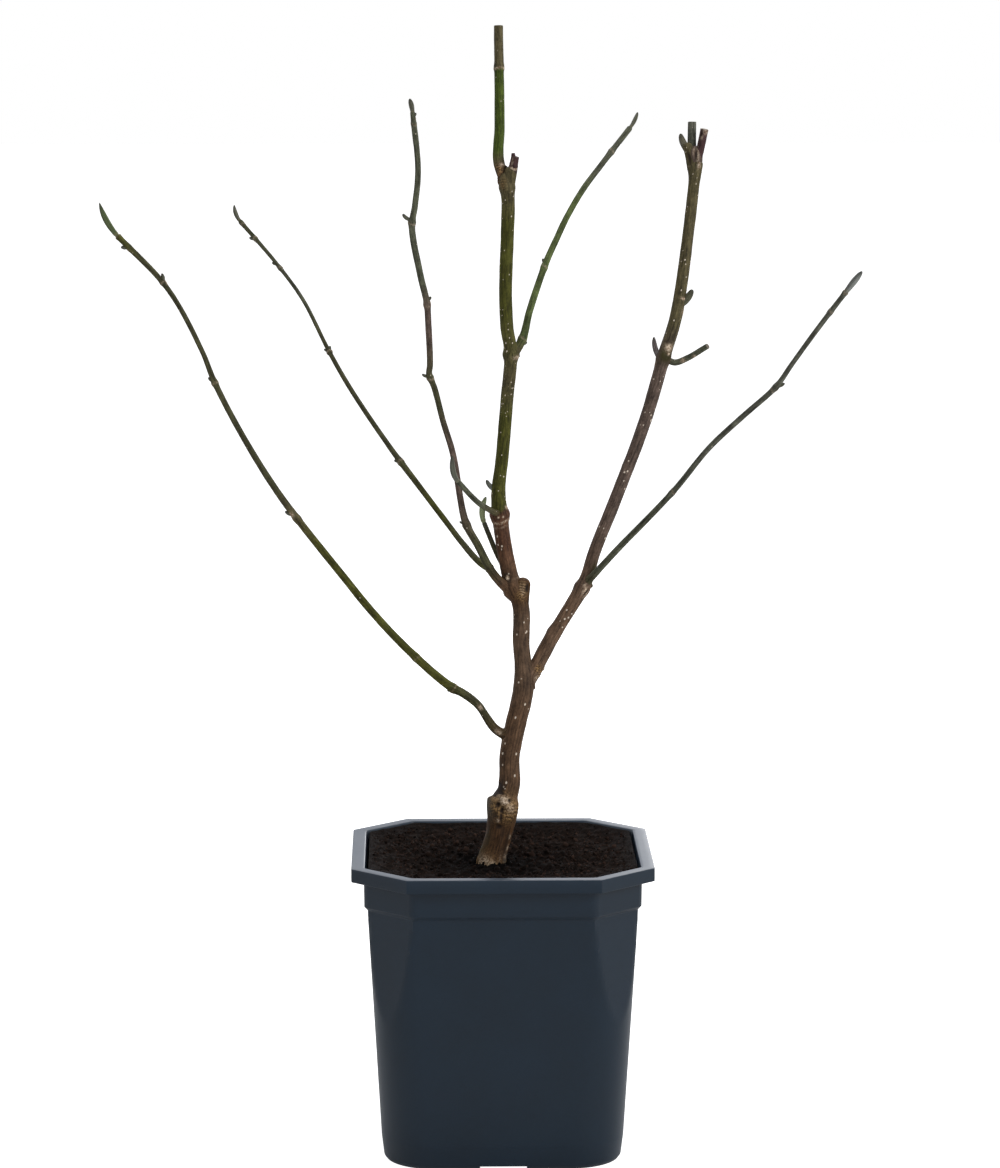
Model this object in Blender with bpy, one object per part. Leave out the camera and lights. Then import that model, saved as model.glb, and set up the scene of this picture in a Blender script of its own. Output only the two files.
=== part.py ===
"""Potted saucer magnolia: a young, leafless flowering shrub in a square nursery pot.

Lengths are metres, +Z is up and the viewer stands on the -Y side. The origin is the
centre of the pot's flat underside. The limbs are described in millimetres, as each one
would be measured on the plant: where its centre line runs, how thick it is along that
line, and which buds it carries. One function turns any limb into a solid.
"""

import math
from typing import NamedTuple

import bmesh
import bpy
import numpy as np
from mathutils import Matrix

MM = 0.001
CLEARANCE = 0.3 * MM

# Pot: square at the rim with cut corners, turning to a rounded base
POT_HEIGHT = 200.0 * MM
RIM_HALF = 100.0 * MM
RIM_DROP = 9.0 * MM
RIM_THICKNESS = 1.7 * MM
RIM_INNER_HALF = 92.6 * MM
COLLAR_HALF = 91.5 * MM
COLLAR_FOOT = 173.5 * MM
BODY_TOP = 171.0 * MM
BODY_TOP_HALF = 89.3 * MM
BAND_TOP = 16.0 * MM
BAND_HALF = 80.6 * MM
BASE_HALF = 76.2 * MM
BASE_ROUND = 2.5 * MM
WALL = 1.5 * MM
FLOOR = 3.0 * MM

# Corners of the pot: their radius, and how far the flat facet stands from the axis
CORNER_RADIUS_BASE = 36.0 * MM
CORNER_RADIUS_TOP = 28.0 * MM
FACET_TOP = 104.8 * MM
FACET_SLOPE = 0.0394
BODY_RING_SHARES = (0.0, 0.3, 0.55, 0.78, 1.0)
RING_ANGLES = (28.0, 33.2, 37.0, 41.0, 45.0, 49.0, 53.0, 56.8, 62.0)

# Drain notches, one in the middle of each side of the base
NOTCH_WIDTH = 31.0 * MM
NOTCH_HEIGHT = 4.0 * MM
NOTCH_DEPTH = 16.0 * MM

SOIL_TOP = POT_HEIGHT - 6.3 * MM
TRUNK_FOOT = SOIL_TOP + CLEARANCE

# Limbs
ROUTE_STEPS = 16
STATION_SPACING = 9.5
STATION_GAP = 2.6
NODE_REACH = 3.4
TUBE_RESOLUTION = 2
TIP = math.inf
TIP_BUD_BEND = 1.0
SIDE_BUD_BEND = -0.6
BUD_PROFILE = ((0.0, 0.55), (0.22, 0.92), (0.45, 1.0), (0.72, 0.74), (0.92, 0.34), (1.0, 0.1))


class Bud(NamedTuple):
    """A bud in millimetres and degrees.

    at is its distance along the limb, or TIP. side is its bearing round the limb, with 0 the
    right-hand or upper side seen from the front, 90 the back and 180 the left or under
    side. lean is the angle between the bud and the limb's own direction.
    """

    at: float
    side: float
    length: float
    width: float
    lean: float = 38.0


class Spur(NamedTuple):
    """A short side shoot or cut stub: its centre line and its two end diameters."""

    route: tuple
    girths: tuple


class Limb(NamedTuple):
    """A stem, bough or twig, in millimetres.

    girths are (distance, diameter) pairs, swellings are (distance, extra diameter,
    reach) at the nodes, hands_over is the distance at which a bough ends and its twigs
    begin, and roots_in names the limbs that its own foot meets.
    """

    name: str
    route: tuple
    girths: tuple
    swellings: tuple = ()
    buds: tuple = ()
    spurs: tuple = ()
    hands_over: float = math.inf
    twigs: str = ""
    roots_in: tuple = ()
    bark: str = "brown_bark"


TRUNK = Limb(
    name="trunk",
    route=(
        (-9, -18, 186), (-6, -18, 199), (-1.5, -16, 216), (0.5, -14, 237), (4.5, -13, 248),
        (5, -11, 264), (8, -9, 281), (14.5, -6, 311), (13, -3, 340), (12.5, -1, 366),
        (6, 1, 383), (-2, 4, 437), (0.5, 3, 465), (3.5, 2, 502), (6, 0, 533),
        (3.5, -1, 550.5), (2.5, -2, 574), (4, -4, 637), (2, -4, 653),
    ),
    girths=((0, 21), (10, 19.4), (18, 17.2), (50, 16.4), (57, 14.2), (72, 13.6), (128, 13.8),
            (146, 10.7), (190, 10.8), (250, 9.6), (275, 8.2), (400, 8.1), (474, 8.5)),
    swellings=((49, 3.4, 6), (195, 3.6, 8), (244, 3.6, 6), (353, 2.4, 6), (464, 2.2, 6)),
    buds=(Bud(at=260.5, side=180, length=11.2, width=2.8, lean=45),),
    spurs=(
        Spur(route=((8, 0, 371), (12, -1, 376.5), (15, -2, 380)), girths=(10.6, 8.8)),
        Spur(route=((5, -4, 640), (8, -5, 654), (9.5, -6, 664.5)), girths=(6.6, 4.6)),
    ),
)

RIGHT_BOUGH = Limb(
    name="right_bough",
    route=(
        (12, -6, 302), (21, -3, 320), (32.5, 3, 341), (56, 13, 379), (62.5, 18, 398.5),
        (77, 29, 432.5), (97.5, 44, 484), (110.5, 54, 526.5), (118.5, 60, 552),
        (128, 72, 614), (133, 80, 657),
    ),
    girths=((0, 10.5), (30, 9.8), (60, 8.8), (80, 9.2), (110, 8.0), (200, 8.0), (255, 8.5),
            (300, 7.7), (340, 7.3), (372, 7.3), (389, 9.6)),
    swellings=((86, 2.0, 6), (251, 1.6, 6)),
    buds=(
        Bud(at=248, side=180, length=18.4, width=3.8, lean=33),
        Bud(at=287.5, side=0, length=16.4, width=3.9, lean=33),
        Bud(at=388, side=180, length=20.5, width=3.6, lean=38),
    ),
    spurs=(
        Spur(route=((111, 55, 524), (117.5, 54, 521.5), (126, 50, 525), (139, 41, 534)),
             girths=(4.0, 3.3)),
        Spur(route=((132, 80, 652), (130, 82, 664), (130, 84, 681.5)), girths=(5.6, 5.2)),
        Spur(route=((132.5, 79, 652), (135.5, 78, 664), (138, 77, 677)), girths=(5.2, 4.7)),
    ),
    hands_over=222,
    twigs="right_upper_twigs",
    roots_in=("trunk",),
)

RIGHT_LOWER_BOUGH = Limb(
    name="right_lower_bough",
    route=(
        (56, 13, 377), (63, 6, 386), (75.5, -3, 401.5), (112, -35, 446), (134, -54, 477),
        (154, -68, 498.5), (175, -82, 520), (184, -89, 534.5), (199, -100, 558),
        (217, -112, 584.5),
    ),
    girths=((0, 4.8), (16, 4.1), (60, 3.7), (130, 3.3), (205, 3.3), (225, 2.8), (292, 3.0)),
    swellings=((99, 0.6, 4), (209, 0.9, 4), (273, 0.6, 3), (290, 0.6, 3)),
    buds=(
        Bud(at=209, side=0, length=6.5, width=2.4, lean=24),
        Bud(at=TIP, side=0, length=17.0, width=3.9, lean=3),
    ),
    hands_over=122,
    twigs="right_lower_twigs",
    roots_in=("right_bough",),
    bark="green_bark",
)

LOWER_LEFT_BOUGH = Limb(
    name="lower_left_bough",
    route=(
        (6, -9, 277), (-4.5, -11, 283.5), (-16.5, -18, 301.5), (-26.5, -23, 310),
        (-32.5, -25, 313.5), (-44.5, -30, 323.5), (-69, -42, 349), (-87, -51, 370.5),
        (-102.5, -60, 391.5), (-145, -83, 451), (-170, -95, 494.5), (-185.5, -103, 527),
        (-192.5, -107, 546), (-213.5, -115, 586.5), (-245, -120, 621),
    ),
    girths=((0, 7.0), (12, 5.8), (28, 4.8), (60, 5.5), (110, 4.8), (215, 4.4), (290, 3.5),
            (330, 3.4), (350, 2.8), (385, 2.8), (430, 3.3), (448, 3.3)),
    swellings=((57, 0.9, 4), (92, 0.5, 4), (223, 0.9, 4), (331, 0.8, 4), (405, 0.7, 3),
               (436, 0.4, 3), (446, 0.6, 3)),
    buds=(
        Bud(at=57, side=180, length=4.2, width=2.2, lean=55),
        Bud(at=226.5, side=180, length=6.6, width=2.6, lean=30),
        Bud(at=331.5, side=180, length=5.0, width=2.2, lean=28),
        Bud(at=404.5, side=0, length=6.2, width=2.4, lean=30),
        Bud(at=436, side=180, length=4.8, width=2.6, lean=42),
        Bud(at=TIP, side=0, length=24.8, width=4.0, lean=15),
    ),
    hands_over=238,
    twigs="lower_left_twigs",
    roots_in=("trunk",),
    bark="green_bark",
)

INNER_LEFT_BOUGH = Limb(
    name="inner_left_bough",
    route=(
        (9, 0, 371), (-5.5, -3, 386.5), (-16, -6, 406.5), (-24, -8, 422), (-32.5, -16, 469),
        (-39, -24, 491.5), (-44.5, -34, 514), (-48, -39, 524), (-47.5, -41, 530),
        (-48.5, -52, 557), (-49.5, -59, 572), (-54, -68, 592.5), (-59, -80, 623),
        (-57, -85, 637), (-55, -93, 660), (-58.5, -105, 698),
    ),
    girths=((0, 7.0), (16, 5.6), (40, 4.7), (58, 4.8), (74, 4.0), (145, 3.5), (215, 3.8),
            (272, 3.9), (296, 3.5), (345, 3.3), (360, 2.6)),
    swellings=((60, 0.8, 4), (169, 0.9, 4), (223, 0.9, 4), (283, 1.0, 4), (351, 0.4, 3)),
    buds=(
        Bud(at=61, side=180, length=4.6, width=1.8, lean=50),
        Bud(at=170, side=180, length=5.6, width=2.2, lean=50),
        Bud(at=226, side=0, length=4.1, width=2.2, lean=50),
        Bud(at=284.5, side=180, length=7.6, width=2.6, lean=58),
        Bud(at=355.5, side=0, length=3.4, width=1.6),
        Bud(at=TIP, side=180, length=8.0, width=2.6, lean=6),
    ),
    hands_over=184,
    twigs="inner_left_twigs",
    roots_in=("trunk",),
)

UPPER_LEFT_BOUGH = Limb(
    name="upper_left_bough",
    route=(
        (-7, -3, 389.5), (-15, 6, 393.5), (-26, 18, 404.5), (-38, 33, 418.5), (-54.5, 45, 439),
        (-73.5, 58, 463), (-100.5, 81, 500.5), (-116, 96, 526), (-133.5, 112, 559),
        (-151, 123, 582), (-177.5, 138, 611.5),
    ),
    girths=((0, 5.0), (14, 4.0), (40, 3.5), (80, 3.5), (102, 3.8), (125, 3.1), (195, 2.8),
            (212, 2.3), (280, 2.2), (317, 2.6)),
    swellings=((107, 0.8, 4), (202, 1.1, 3), (272, 0.8, 3), (300, 0.7, 3), (315, 0.5, 3)),
    buds=(
        Bud(at=107.5, side=180, length=4.2, width=2.2, lean=40),
        Bud(at=202.5, side=180, length=4.0, width=1.8, lean=35),
        Bud(at=202.5, side=0, length=4.0, width=1.8, lean=35),
        Bud(at=275, side=180, length=4.4, width=1.8, lean=26),
        Bud(at=299.5, side=180, length=4.6, width=2.2, lean=34),
        Bud(at=TIP, side=0, length=12.3, width=2.8, lean=20),
    ),
    hands_over=126,
    twigs="upper_left_twigs",
    roots_in=("trunk", "inner_left_bough"),
    bark="green_bark",
)

UPPER_RIGHT_TWIGS = Limb(
    name="upper_right_twigs",
    route=(
        (6, 0, 529), (14, 4, 543), (18.5, 12, 559.5), (30, 31, 590.5), (37, 40, 605),
        (44.5, 50, 619.5), (55.5, 61, 637), (68.5, 73, 653.5), (88.5, 92, 677.5),
    ),
    girths=((0, 5.6), (16, 5.2), (28, 4.4), (60, 4.1), (110, 3.7), (196, 3.4)),
    swellings=((16, 0.6, 4), (70, 0.7, 4), (171, 0.8, 5)),
    buds=(
        Bud(at=12, side=0, length=5.2, width=2.0, lean=42),
        Bud(at=73, side=180, length=4.2, width=2.0, lean=45),
        Bud(at=TIP, side=180, length=12.5, width=2.6, lean=10),
    ),
    hands_over=0,
    twigs="upper_right_twigs",
    roots_in=("trunk",),
    bark="green_bark",
)

TOP_TWIG = Limb(
    name="top_twig",
    route=((2, -3, 646), (-2.1, 1, 661), (-1.3, 6, 682), (-1.8, 16, 748)),
    girths=((0, 6.2), (13, 7.2), (26, 6.5), (64, 6.0), (106, 5.5)),
    swellings=((77, 0.8, 4),),
    hands_over=0,
    twigs="top_twig",
    roots_in=("trunk",),
    bark="green_bark",
)

FRONT_SPUR = Limb(
    name="front_spur",
    route=((-1, 2, 425), (-14.5, -14, 435.5), (-29, -34, 453)),
    girths=((0, 3.4), (40, 2.9), (52, 2.8)),
    buds=(Bud(at=TIP, side=36, length=18.0, width=3.9, lean=32),),
    hands_over=0,
    twigs="front_spur",
    roots_in=("trunk",),
    bark="green_bark",
)

REAR_SPUR = Limb(
    name="rear_spur",
    route=((5, 1, 384), (-3.5, 8, 398.5), (-12.5, 14, 419.5)),
    girths=((0, 3.2), (40, 2.7)),
    buds=(Bud(at=TIP, side=3, length=16.5, width=3.6, lean=26),),
    hands_over=0,
    twigs="rear_spur",
    roots_in=("trunk",),
)

LIMBS = (
    TRUNK, RIGHT_BOUGH, RIGHT_LOWER_BOUGH, LOWER_LEFT_BOUGH, INNER_LEFT_BOUGH,
    UPPER_LEFT_BOUGH, UPPER_RIGHT_TWIGS, TOP_TWIG, FRONT_SPUR, REAR_SPUR,
)

# Colours as (red, green, blue), with roughness
MATERIALS = {
    "slate_plastic": ((0.022, 0.030, 0.038), 0.42),
    "dark_soil": ((0.010, 0.007, 0.006), 0.95),
    "brown_bark": ((0.090, 0.055, 0.040), 0.75),
    "green_bark": ((0.070, 0.075, 0.030), 0.65),
}


def clear_scene():
    """Remove every object that the start-up file holds."""
    for item in list(bpy.data.objects):
        bpy.data.objects.remove(item, do_unlink=True)


def new_collection(name):
    """Return a new collection linked to the scene."""
    collection = bpy.data.collections.new(name)
    bpy.context.scene.collection.children.link(collection)
    return collection


def material(name):
    """Return the named Principled material, made on its first use."""
    found = bpy.data.materials.get(name)
    if found:
        return found
    colour, roughness = MATERIALS[name]
    made = bpy.data.materials.new(name)
    made.use_nodes = True
    shader = made.node_tree.nodes["Principled BSDF"]
    shader.inputs["Base Color"].default_value = (*colour, 1.0)
    shader.inputs["Roughness"].default_value = roughness
    return made


def mesh_object(name, mesh, collection, finish=None):
    """Put a mesh in the scene as an object."""
    item = bpy.data.objects.new(name, mesh)
    collection.objects.link(item)
    if finish:
        mesh.materials.clear()
        mesh.materials.append(material(finish))
    return item


# Pot and soil


def body_half(height):
    """Half-width of the pot's outer wall below the collar."""
    if height >= BODY_TOP:
        return BODY_TOP_HALF
    share = (height - BAND_TOP) / (BODY_TOP - BAND_TOP)
    return BAND_HALF + share * (BODY_TOP_HALF - BAND_HALF)


def ring(height, half):
    """Points of the pot's plan at one height, for a wall that runs through half.

    The plan is a square with round corners, and each corner is clipped by a flat facet.
    The facet is almost upright while the corner tapers, so it fades out part way down.
    """
    offset = half - body_half(height)
    level = min(height / BODY_TOP, 1.0)
    radius = CORNER_RADIUS_BASE + level * (CORNER_RADIUS_TOP - CORNER_RADIUS_BASE) + offset
    facet = FACET_TOP + FACET_SLOPE * max(BODY_TOP - height, 0.0) + offset
    centre = half - radius
    points = []
    for quarter in range(4):
        for degrees in RING_ANGLES:
            angle = math.radians(degrees)
            cosine, sine = math.cos(angle), math.sin(angle)
            if min(cosine, sine) * half <= max(cosine, sine) * centre:
                reach = half / max(cosine, sine)
            else:
                along = centre * (cosine + sine)
                reach = along + math.sqrt(along**2 - 2 * centre**2 + radius**2)
            reach = min(reach, facet / math.cos(angle - math.pi / 4))
            turned = angle + quarter * math.pi / 2
            points.append((reach * math.cos(turned), reach * math.sin(turned), height))
    return points


def loft(name, sections, collection, finish):
    """Join a run of unlike rings into one closed solid with flat end faces.

    Each side face is split by the diagonal that rises to the left, on inner walls too,
    so that two walls a hair's breadth apart stay parallel.
    """
    shape = bmesh.new()
    rings = []
    for height, half in sections:
        rings.append([shape.verts.new(point) for point in ring(height, half)])
    count = len(rings[0])
    for near, far in zip(rings, rings[1:]):
        low, high = (near, far) if near[0].co.z <= far[0].co.z else (far, near)
        for i in range(count):
            j = (i + 1) % count
            shape.faces.new((low[i], low[j], high[j]))
            shape.faces.new((low[i], high[j], high[i]))
    shape.faces.new(list(reversed(rings[0])))
    shape.faces.new(rings[-1])
    bmesh.ops.recalc_face_normals(shape, faces=shape.faces)
    mesh = bpy.data.meshes.new(name)
    shape.to_mesh(mesh)
    shape.free()
    return mesh_object(name, mesh, collection, finish)


def body_heights():
    """Heights of the rings up the body, from its base band to its top."""
    return [BAND_TOP + share * (BODY_TOP - BAND_TOP) for share in BODY_RING_SHARES]


def inner_sections(gap):
    """Rings of the pot's inner wall from the floor up, drawn in by a gap."""
    sides = [(height, body_half(height) - WALL - gap) for height in body_heights()]
    foot = (
        (FLOOR + gap, BASE_HALF - WALL - gap),
        (2 * FLOOR, BASE_HALF + 1.0 * MM - gap),
    )
    return (*foot, *sides, (COLLAR_FOOT + 1.0 * MM, COLLAR_HALF - WALL - gap))


def build_pot(collection, cutters):
    """Thin-walled pot with a stepped collar, a turned-down rim and drain notches."""
    skirt_inner = RIM_HALF - RIM_THICKNESS
    flange_under = POT_HEIGHT - RIM_THICKNESS
    outside = (
        (0.0, BASE_HALF),
        (BASE_ROUND, BASE_HALF + 1.8 * MM),
        *((height, body_half(height)) for height in body_heights()),
        (COLLAR_FOOT, COLLAR_HALF),
        (flange_under, COLLAR_HALF + 0.3 * MM),
        (flange_under, skirt_inner),
        (POT_HEIGHT - RIM_DROP, skirt_inner),
        (POT_HEIGHT - RIM_DROP, RIM_HALF),
        (POT_HEIGHT - 0.7 * MM, RIM_HALF),
        (POT_HEIGHT, RIM_HALF - 0.7 * MM),
        (POT_HEIGHT, RIM_INNER_HALF),
        (POT_HEIGHT - 1.6 * MM, COLLAR_HALF - 0.7 * MM),
        (POT_HEIGHT - 5.0 * MM, COLLAR_HALF - WALL),
    )
    inside = tuple(reversed(inner_sections(0.0)))
    pot = loft("pot", outside + inside, collection, "slate_plastic")
    for quarter in range(4):
        cut_box(pot, quarter * math.pi / 2, cutters)
    return pot


def cut_box(pot, turn, cutters):
    """Cut one drain notch through the foot of a side."""
    bpy.ops.mesh.primitive_cube_add(size=1.0)
    box = bpy.context.object
    box.name = "drain_notch_cutter"
    for owner in list(box.users_collection):
        owner.objects.unlink(box)
    cutters.objects.link(box)
    size = (NOTCH_DEPTH * 2, NOTCH_WIDTH, NOTCH_HEIGHT * 2)
    box.data.transform(Matrix.Diagonal((*size, 1.0)))
    box.location = (BAND_HALF * math.cos(turn), BAND_HALF * math.sin(turn), 0.0)
    box.rotation_euler = (0.0, 0.0, turn)
    hide_cutter(box)
    notch = pot.modifiers.new("drain notch", "BOOLEAN")
    notch.operation = "DIFFERENCE"
    notch.object = box


def build_soil(collection):
    """Peat that fills the pot up to a few millimetres below the rim."""
    sections = inner_sections(CLEARANCE) + ((SOIL_TOP, COLLAR_HALF - WALL - CLEARANCE),)
    return loft("soil", sections, collection, "dark_soil")


# Limbs


def smooth_route(points):
    """A centripetal Catmull-Rom curve through the points, as a dense polyline."""
    given = np.asarray(points, dtype=float)
    first = 2 * given[0] - given[1]
    last = 2 * given[-1] - given[-2]
    control = np.vstack([first, given, last])
    curve = []
    for p0, p1, p2, p3 in zip(control, control[1:], control[2:], control[3:]):
        t1 = np.linalg.norm(p1 - p0) ** 0.5
        t2 = t1 + np.linalg.norm(p2 - p1) ** 0.5
        t3 = t2 + np.linalg.norm(p3 - p2) ** 0.5
        t = np.linspace(t1, t2, ROUTE_STEPS, endpoint=False)[:, None]
        a1 = (t1 - t) / t1 * p0 + t / t1 * p1
        a2 = (t2 - t) / (t2 - t1) * p1 + (t - t1) / (t2 - t1) * p2
        a3 = (t3 - t) / (t3 - t2) * p2 + (t - t2) / (t3 - t2) * p3
        b1 = (t2 - t) / t2 * a1 + t / t2 * a2
        b2 = (t3 - t) / (t3 - t1) * a2 + (t - t1) / (t3 - t1) * a3
        curve.append((t2 - t) / (t2 - t1) * b1 + (t - t1) / (t2 - t1) * b2)
    curve.append(given[-1:])
    return np.vstack(curve)


class CentreLine:
    """A limb's smooth centre line, read by distance from its root."""

    def __init__(self, route):
        self.points = smooth_route(route)
        steps = np.linalg.norm(np.diff(self.points, axis=0), axis=1)
        self.distances = np.concatenate([[0.0], np.cumsum(steps)])
        self.length = self.distances[-1]

    def at(self, distance):
        """Centre points at the given distances."""
        return np.stack(
            [np.interp(distance, self.distances, self.points[:, axis]) for axis in range(3)],
            axis=-1,
        )

    def direction(self, distance):
        """The limb's direction at one distance."""
        step = 1.0
        ahead = self.at(min(distance + step, self.length))
        behind = self.at(max(distance - step, 0.0))
        return unit(ahead - behind)

    def pointing(self, distance, side, lean):
        """Direction that leans away from the limb towards a side of it."""
        along = self.direction(distance)
        right = unit(np.cross((0.0, 1.0, 0.0), along))
        back = np.cross(along, right)
        bearing = math.radians(side)
        outward = math.cos(bearing) * right + math.sin(bearing) * back
        angle = math.radians(lean)
        return math.cos(angle) * along + math.sin(angle) * outward


def unit(vector):
    """The vector scaled to length one."""
    return vector / np.linalg.norm(vector)


def diameter(limb, distance):
    """Thickness of a limb at a distance, with the swellings at its nodes."""
    places, widths = zip(*limb.girths)
    width = np.interp(distance, places, widths)
    for place, extra, reach in limb.swellings:
        width = width + extra * np.exp(-(((distance - place) / (0.6 * reach)) ** 2))
    return width


def stations(limb, start, end):
    """Distances at which the solid has a ring: even steps, and closer at the nodes."""
    steps = max(int(round((end - start) / STATION_SPACING)), 2)
    wanted = list(np.linspace(start, end, steps + 1))
    for place, _, _ in limb.swellings:
        wanted += [place - NODE_REACH, place, place + NODE_REACH]
    kept = [start]
    for distance in sorted(wanted):
        if distance - kept[-1] > STATION_GAP and end - distance > STATION_GAP:
            kept.append(distance)
    return np.array(kept + [end])


def tube(name, centres, diameters, collection, finish=None):
    """A round limb through centre points in millimetres, with flat ends, as a mesh."""
    curve = bpy.data.curves.new(name, "CURVE")
    curve.dimensions = "3D"
    curve.bevel_depth = MM
    curve.bevel_resolution = TUBE_RESOLUTION
    curve.use_fill_caps = True
    spline = curve.splines.new("POLY")
    spline.points.add(len(centres) - 1)
    for point, centre, width in zip(spline.points, centres, diameters):
        point.co = (*(MM * value for value in centre), 1.0)
        point.radius = width / 2
    guide = bpy.data.objects.new(name + "_guide", curve)
    collection.objects.link(guide)
    evaluated = guide.evaluated_get(bpy.context.evaluated_depsgraph_get())
    mesh = bpy.data.meshes.new_from_object(evaluated)
    shape = bmesh.new()
    shape.from_mesh(mesh)
    bmesh.ops.remove_doubles(shape, verts=shape.verts, dist=0.00001)
    bmesh.ops.recalc_face_normals(shape, faces=shape.faces)
    shape.to_mesh(mesh)
    shape.free()
    made = mesh_object(name, mesh, collection, finish)
    made.matrix_world = guide.matrix_world
    bpy.data.objects.remove(guide, do_unlink=True)
    bpy.data.curves.remove(curve)
    mesh.name = name
    mesh.shade_smooth()
    return made


def limb_tube(limb, start, end, name, collection, grow=0.0):
    """The part of a limb between two distances."""
    line = CentreLine(limb.route)
    places = stations(limb, start, end)
    widths = diameter(limb, places) + 2 * grow / MM
    return tube(name, line.at(places), widths, collection, limb.bark)


def bud_tube(limb, bud, collection):
    """A bud: a slim spindle whose foot is sunk in its limb.

    A bud at the tip sets out along the limb and bends to its lean. A side bud sets out
    from the limb and bends back along it.
    """
    line = CentreLine(limb.route)
    place = min(bud.at, line.length)
    foot = line.at(place)
    heading = line.pointing(place, bud.side, bud.lean)
    bend = TIP_BUD_BEND if bud.at == TIP else SIDE_BUD_BEND
    bow = bend * (line.direction(place) - heading)
    centres = [
        foot + bud.length * (share * heading + share * (1 - share) * bow)
        for share, _ in BUD_PROFILE
    ]
    widths = [bud.width * width for _, width in BUD_PROFILE]
    return tube(limb.name + "_bud", centres, widths, collection, limb.bark)


def spur_tube(limb, spur, collection):
    """A side shoot or cut stub whose foot is sunk in its limb."""
    line = CentreLine(spur.route)
    steps = max(int(line.length / 6.0), 2)
    places = np.linspace(0.0, line.length, steps + 1)
    widths = np.interp(places, (0.0, line.length), spur.girths)
    return tube(limb.name + "_spur", line.at(places), widths, collection, limb.bark)


def apply_boolean(item, operation, collection=None, other=None):
    """Apply one Boolean with a whole collection or a single object."""
    step = item.modifiers.new(operation.lower(), "BOOLEAN")
    step.operation = operation
    if collection:
        step.operand_type = "COLLECTION"
        step.collection = collection
    else:
        step.object = other
    graph = bpy.context.evaluated_depsgraph_get()
    mesh = bpy.data.meshes.new_from_object(item.evaluated_get(graph))
    item.modifiers.clear()
    item.data = mesh
    mesh.name = item.name
    mesh.shade_smooth()
    mesh.set_sharp_from_angle(angle=math.radians(40))


def fuse(item, limb, start, end, name):
    """Fuse the buds and spurs that stand between two distances onto a limb."""
    extras = new_collection(name + "_extras")
    line = CentreLine(limb.route)
    for bud in limb.buds:
        if start <= min(bud.at, line.length) <= end:
            bud_tube(limb, bud, extras)
    for spur in limb.spurs:
        gaps = np.linalg.norm(line.points - np.asarray(spur.route[0], dtype=float), axis=1)
        if start <= line.distances[gaps.argmin()] <= end:
            spur_tube(limb, spur, extras)
    if extras.objects:
        apply_boolean(item, "UNION", collection=extras)
    for extra in list(extras.objects):
        bpy.data.objects.remove(extra, do_unlink=True)
    bpy.data.collections.remove(extras)


def clear_of_parents(item, limb, cutters):
    """Cut a limb's foot to fit the limbs that it grows from, a hair's breadth clear."""
    for parent in LIMBS:
        if parent.name not in limb.roots_in:
            continue
        end = min(CentreLine(parent.route).length, parent.hands_over)
        grown = limb_tube(parent, 0.0, end, parent.name + "_cutter", cutters, CLEARANCE)
        apply_boolean(item, "DIFFERENCE", other=grown)
        bpy.data.objects.remove(grown, do_unlink=True)


def flatten_foot(trunk, cutters):
    """Cut the trunk level where it meets the soil."""
    bpy.ops.mesh.primitive_cube_add(size=0.06, location=(-0.008, -0.018, TRUNK_FOOT - 0.03))
    block = bpy.context.object
    for owner in list(block.users_collection):
        owner.objects.unlink(block)
    cutters.objects.link(block)
    apply_boolean(trunk, "DIFFERENCE", other=block)
    bpy.data.objects.remove(block, do_unlink=True)


def build_limb(limb, collection, cutters):
    """A bough, and beyond the point where it hands over, its twigs."""
    length = CentreLine(limb.route).length
    if limb.hands_over > 0:
        end = min(limb.hands_over, length)
        bough = limb_tube(limb, 0.0, end, limb.name, collection)
        fuse(bough, limb, 0.0, end, limb.name)
        clear_of_parents(bough, limb, cutters)
        if limb is TRUNK:
            flatten_foot(bough, cutters)
    if limb.hands_over < length:
        start = limb.hands_over + CLEARANCE / MM if limb.hands_over > 0 else 0.0
        twigs = limb_tube(limb, start, length, limb.twigs, collection)
        fuse(twigs, limb, start, length, limb.twigs)
        if limb.hands_over == 0:
            clear_of_parents(twigs, limb, cutters)


def hide_cutter(item):
    """Mark an object as a cutter and not a part."""
    item.hide_render = True
    item.display_type = "WIRE"


def main():
    """Build the pot, the soil and the plant."""
    clear_scene()
    parts = new_collection("potted_saucer_magnolia")
    cutters = new_collection("cutters")
    build_pot(parts, cutters)
    build_soil(parts)
    for limb in LIMBS:
        build_limb(limb, parts, cutters)


main()
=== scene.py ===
"""Potted saucer magnolia: bark, buds, soil and pot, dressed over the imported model.

Lengths are metres unless a name says millimetres. The limbs repeat the construction's
rule: a centre line, its thickness along the way, and the buds that it carries.
"""

import math
from typing import NamedTuple

import bpy
import numpy as np
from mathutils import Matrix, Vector


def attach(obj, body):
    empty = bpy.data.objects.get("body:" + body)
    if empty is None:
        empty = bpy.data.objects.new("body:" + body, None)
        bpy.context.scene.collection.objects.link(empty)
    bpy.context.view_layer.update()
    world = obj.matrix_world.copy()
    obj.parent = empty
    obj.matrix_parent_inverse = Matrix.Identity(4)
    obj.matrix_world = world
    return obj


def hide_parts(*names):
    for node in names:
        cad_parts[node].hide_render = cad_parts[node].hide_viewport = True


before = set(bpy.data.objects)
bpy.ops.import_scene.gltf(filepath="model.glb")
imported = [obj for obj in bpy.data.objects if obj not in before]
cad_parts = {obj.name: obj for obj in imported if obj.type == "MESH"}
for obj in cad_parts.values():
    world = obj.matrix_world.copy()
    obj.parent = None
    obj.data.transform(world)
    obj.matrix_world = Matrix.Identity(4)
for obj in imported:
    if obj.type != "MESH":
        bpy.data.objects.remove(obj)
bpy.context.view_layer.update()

bl_info = {
    "name": "Potted Saucer Magnolia",
    "version": (1, 0, 0),
    "blender": (4, 5, 0),
    "location": "3D View > Sidebar > Magnolia",
    "description": "Dresses a leafless potted magnolia with bark, buds, soil and its pot",
    "category": "Object",
}

MM = 0.001
TIP = math.inf

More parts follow.
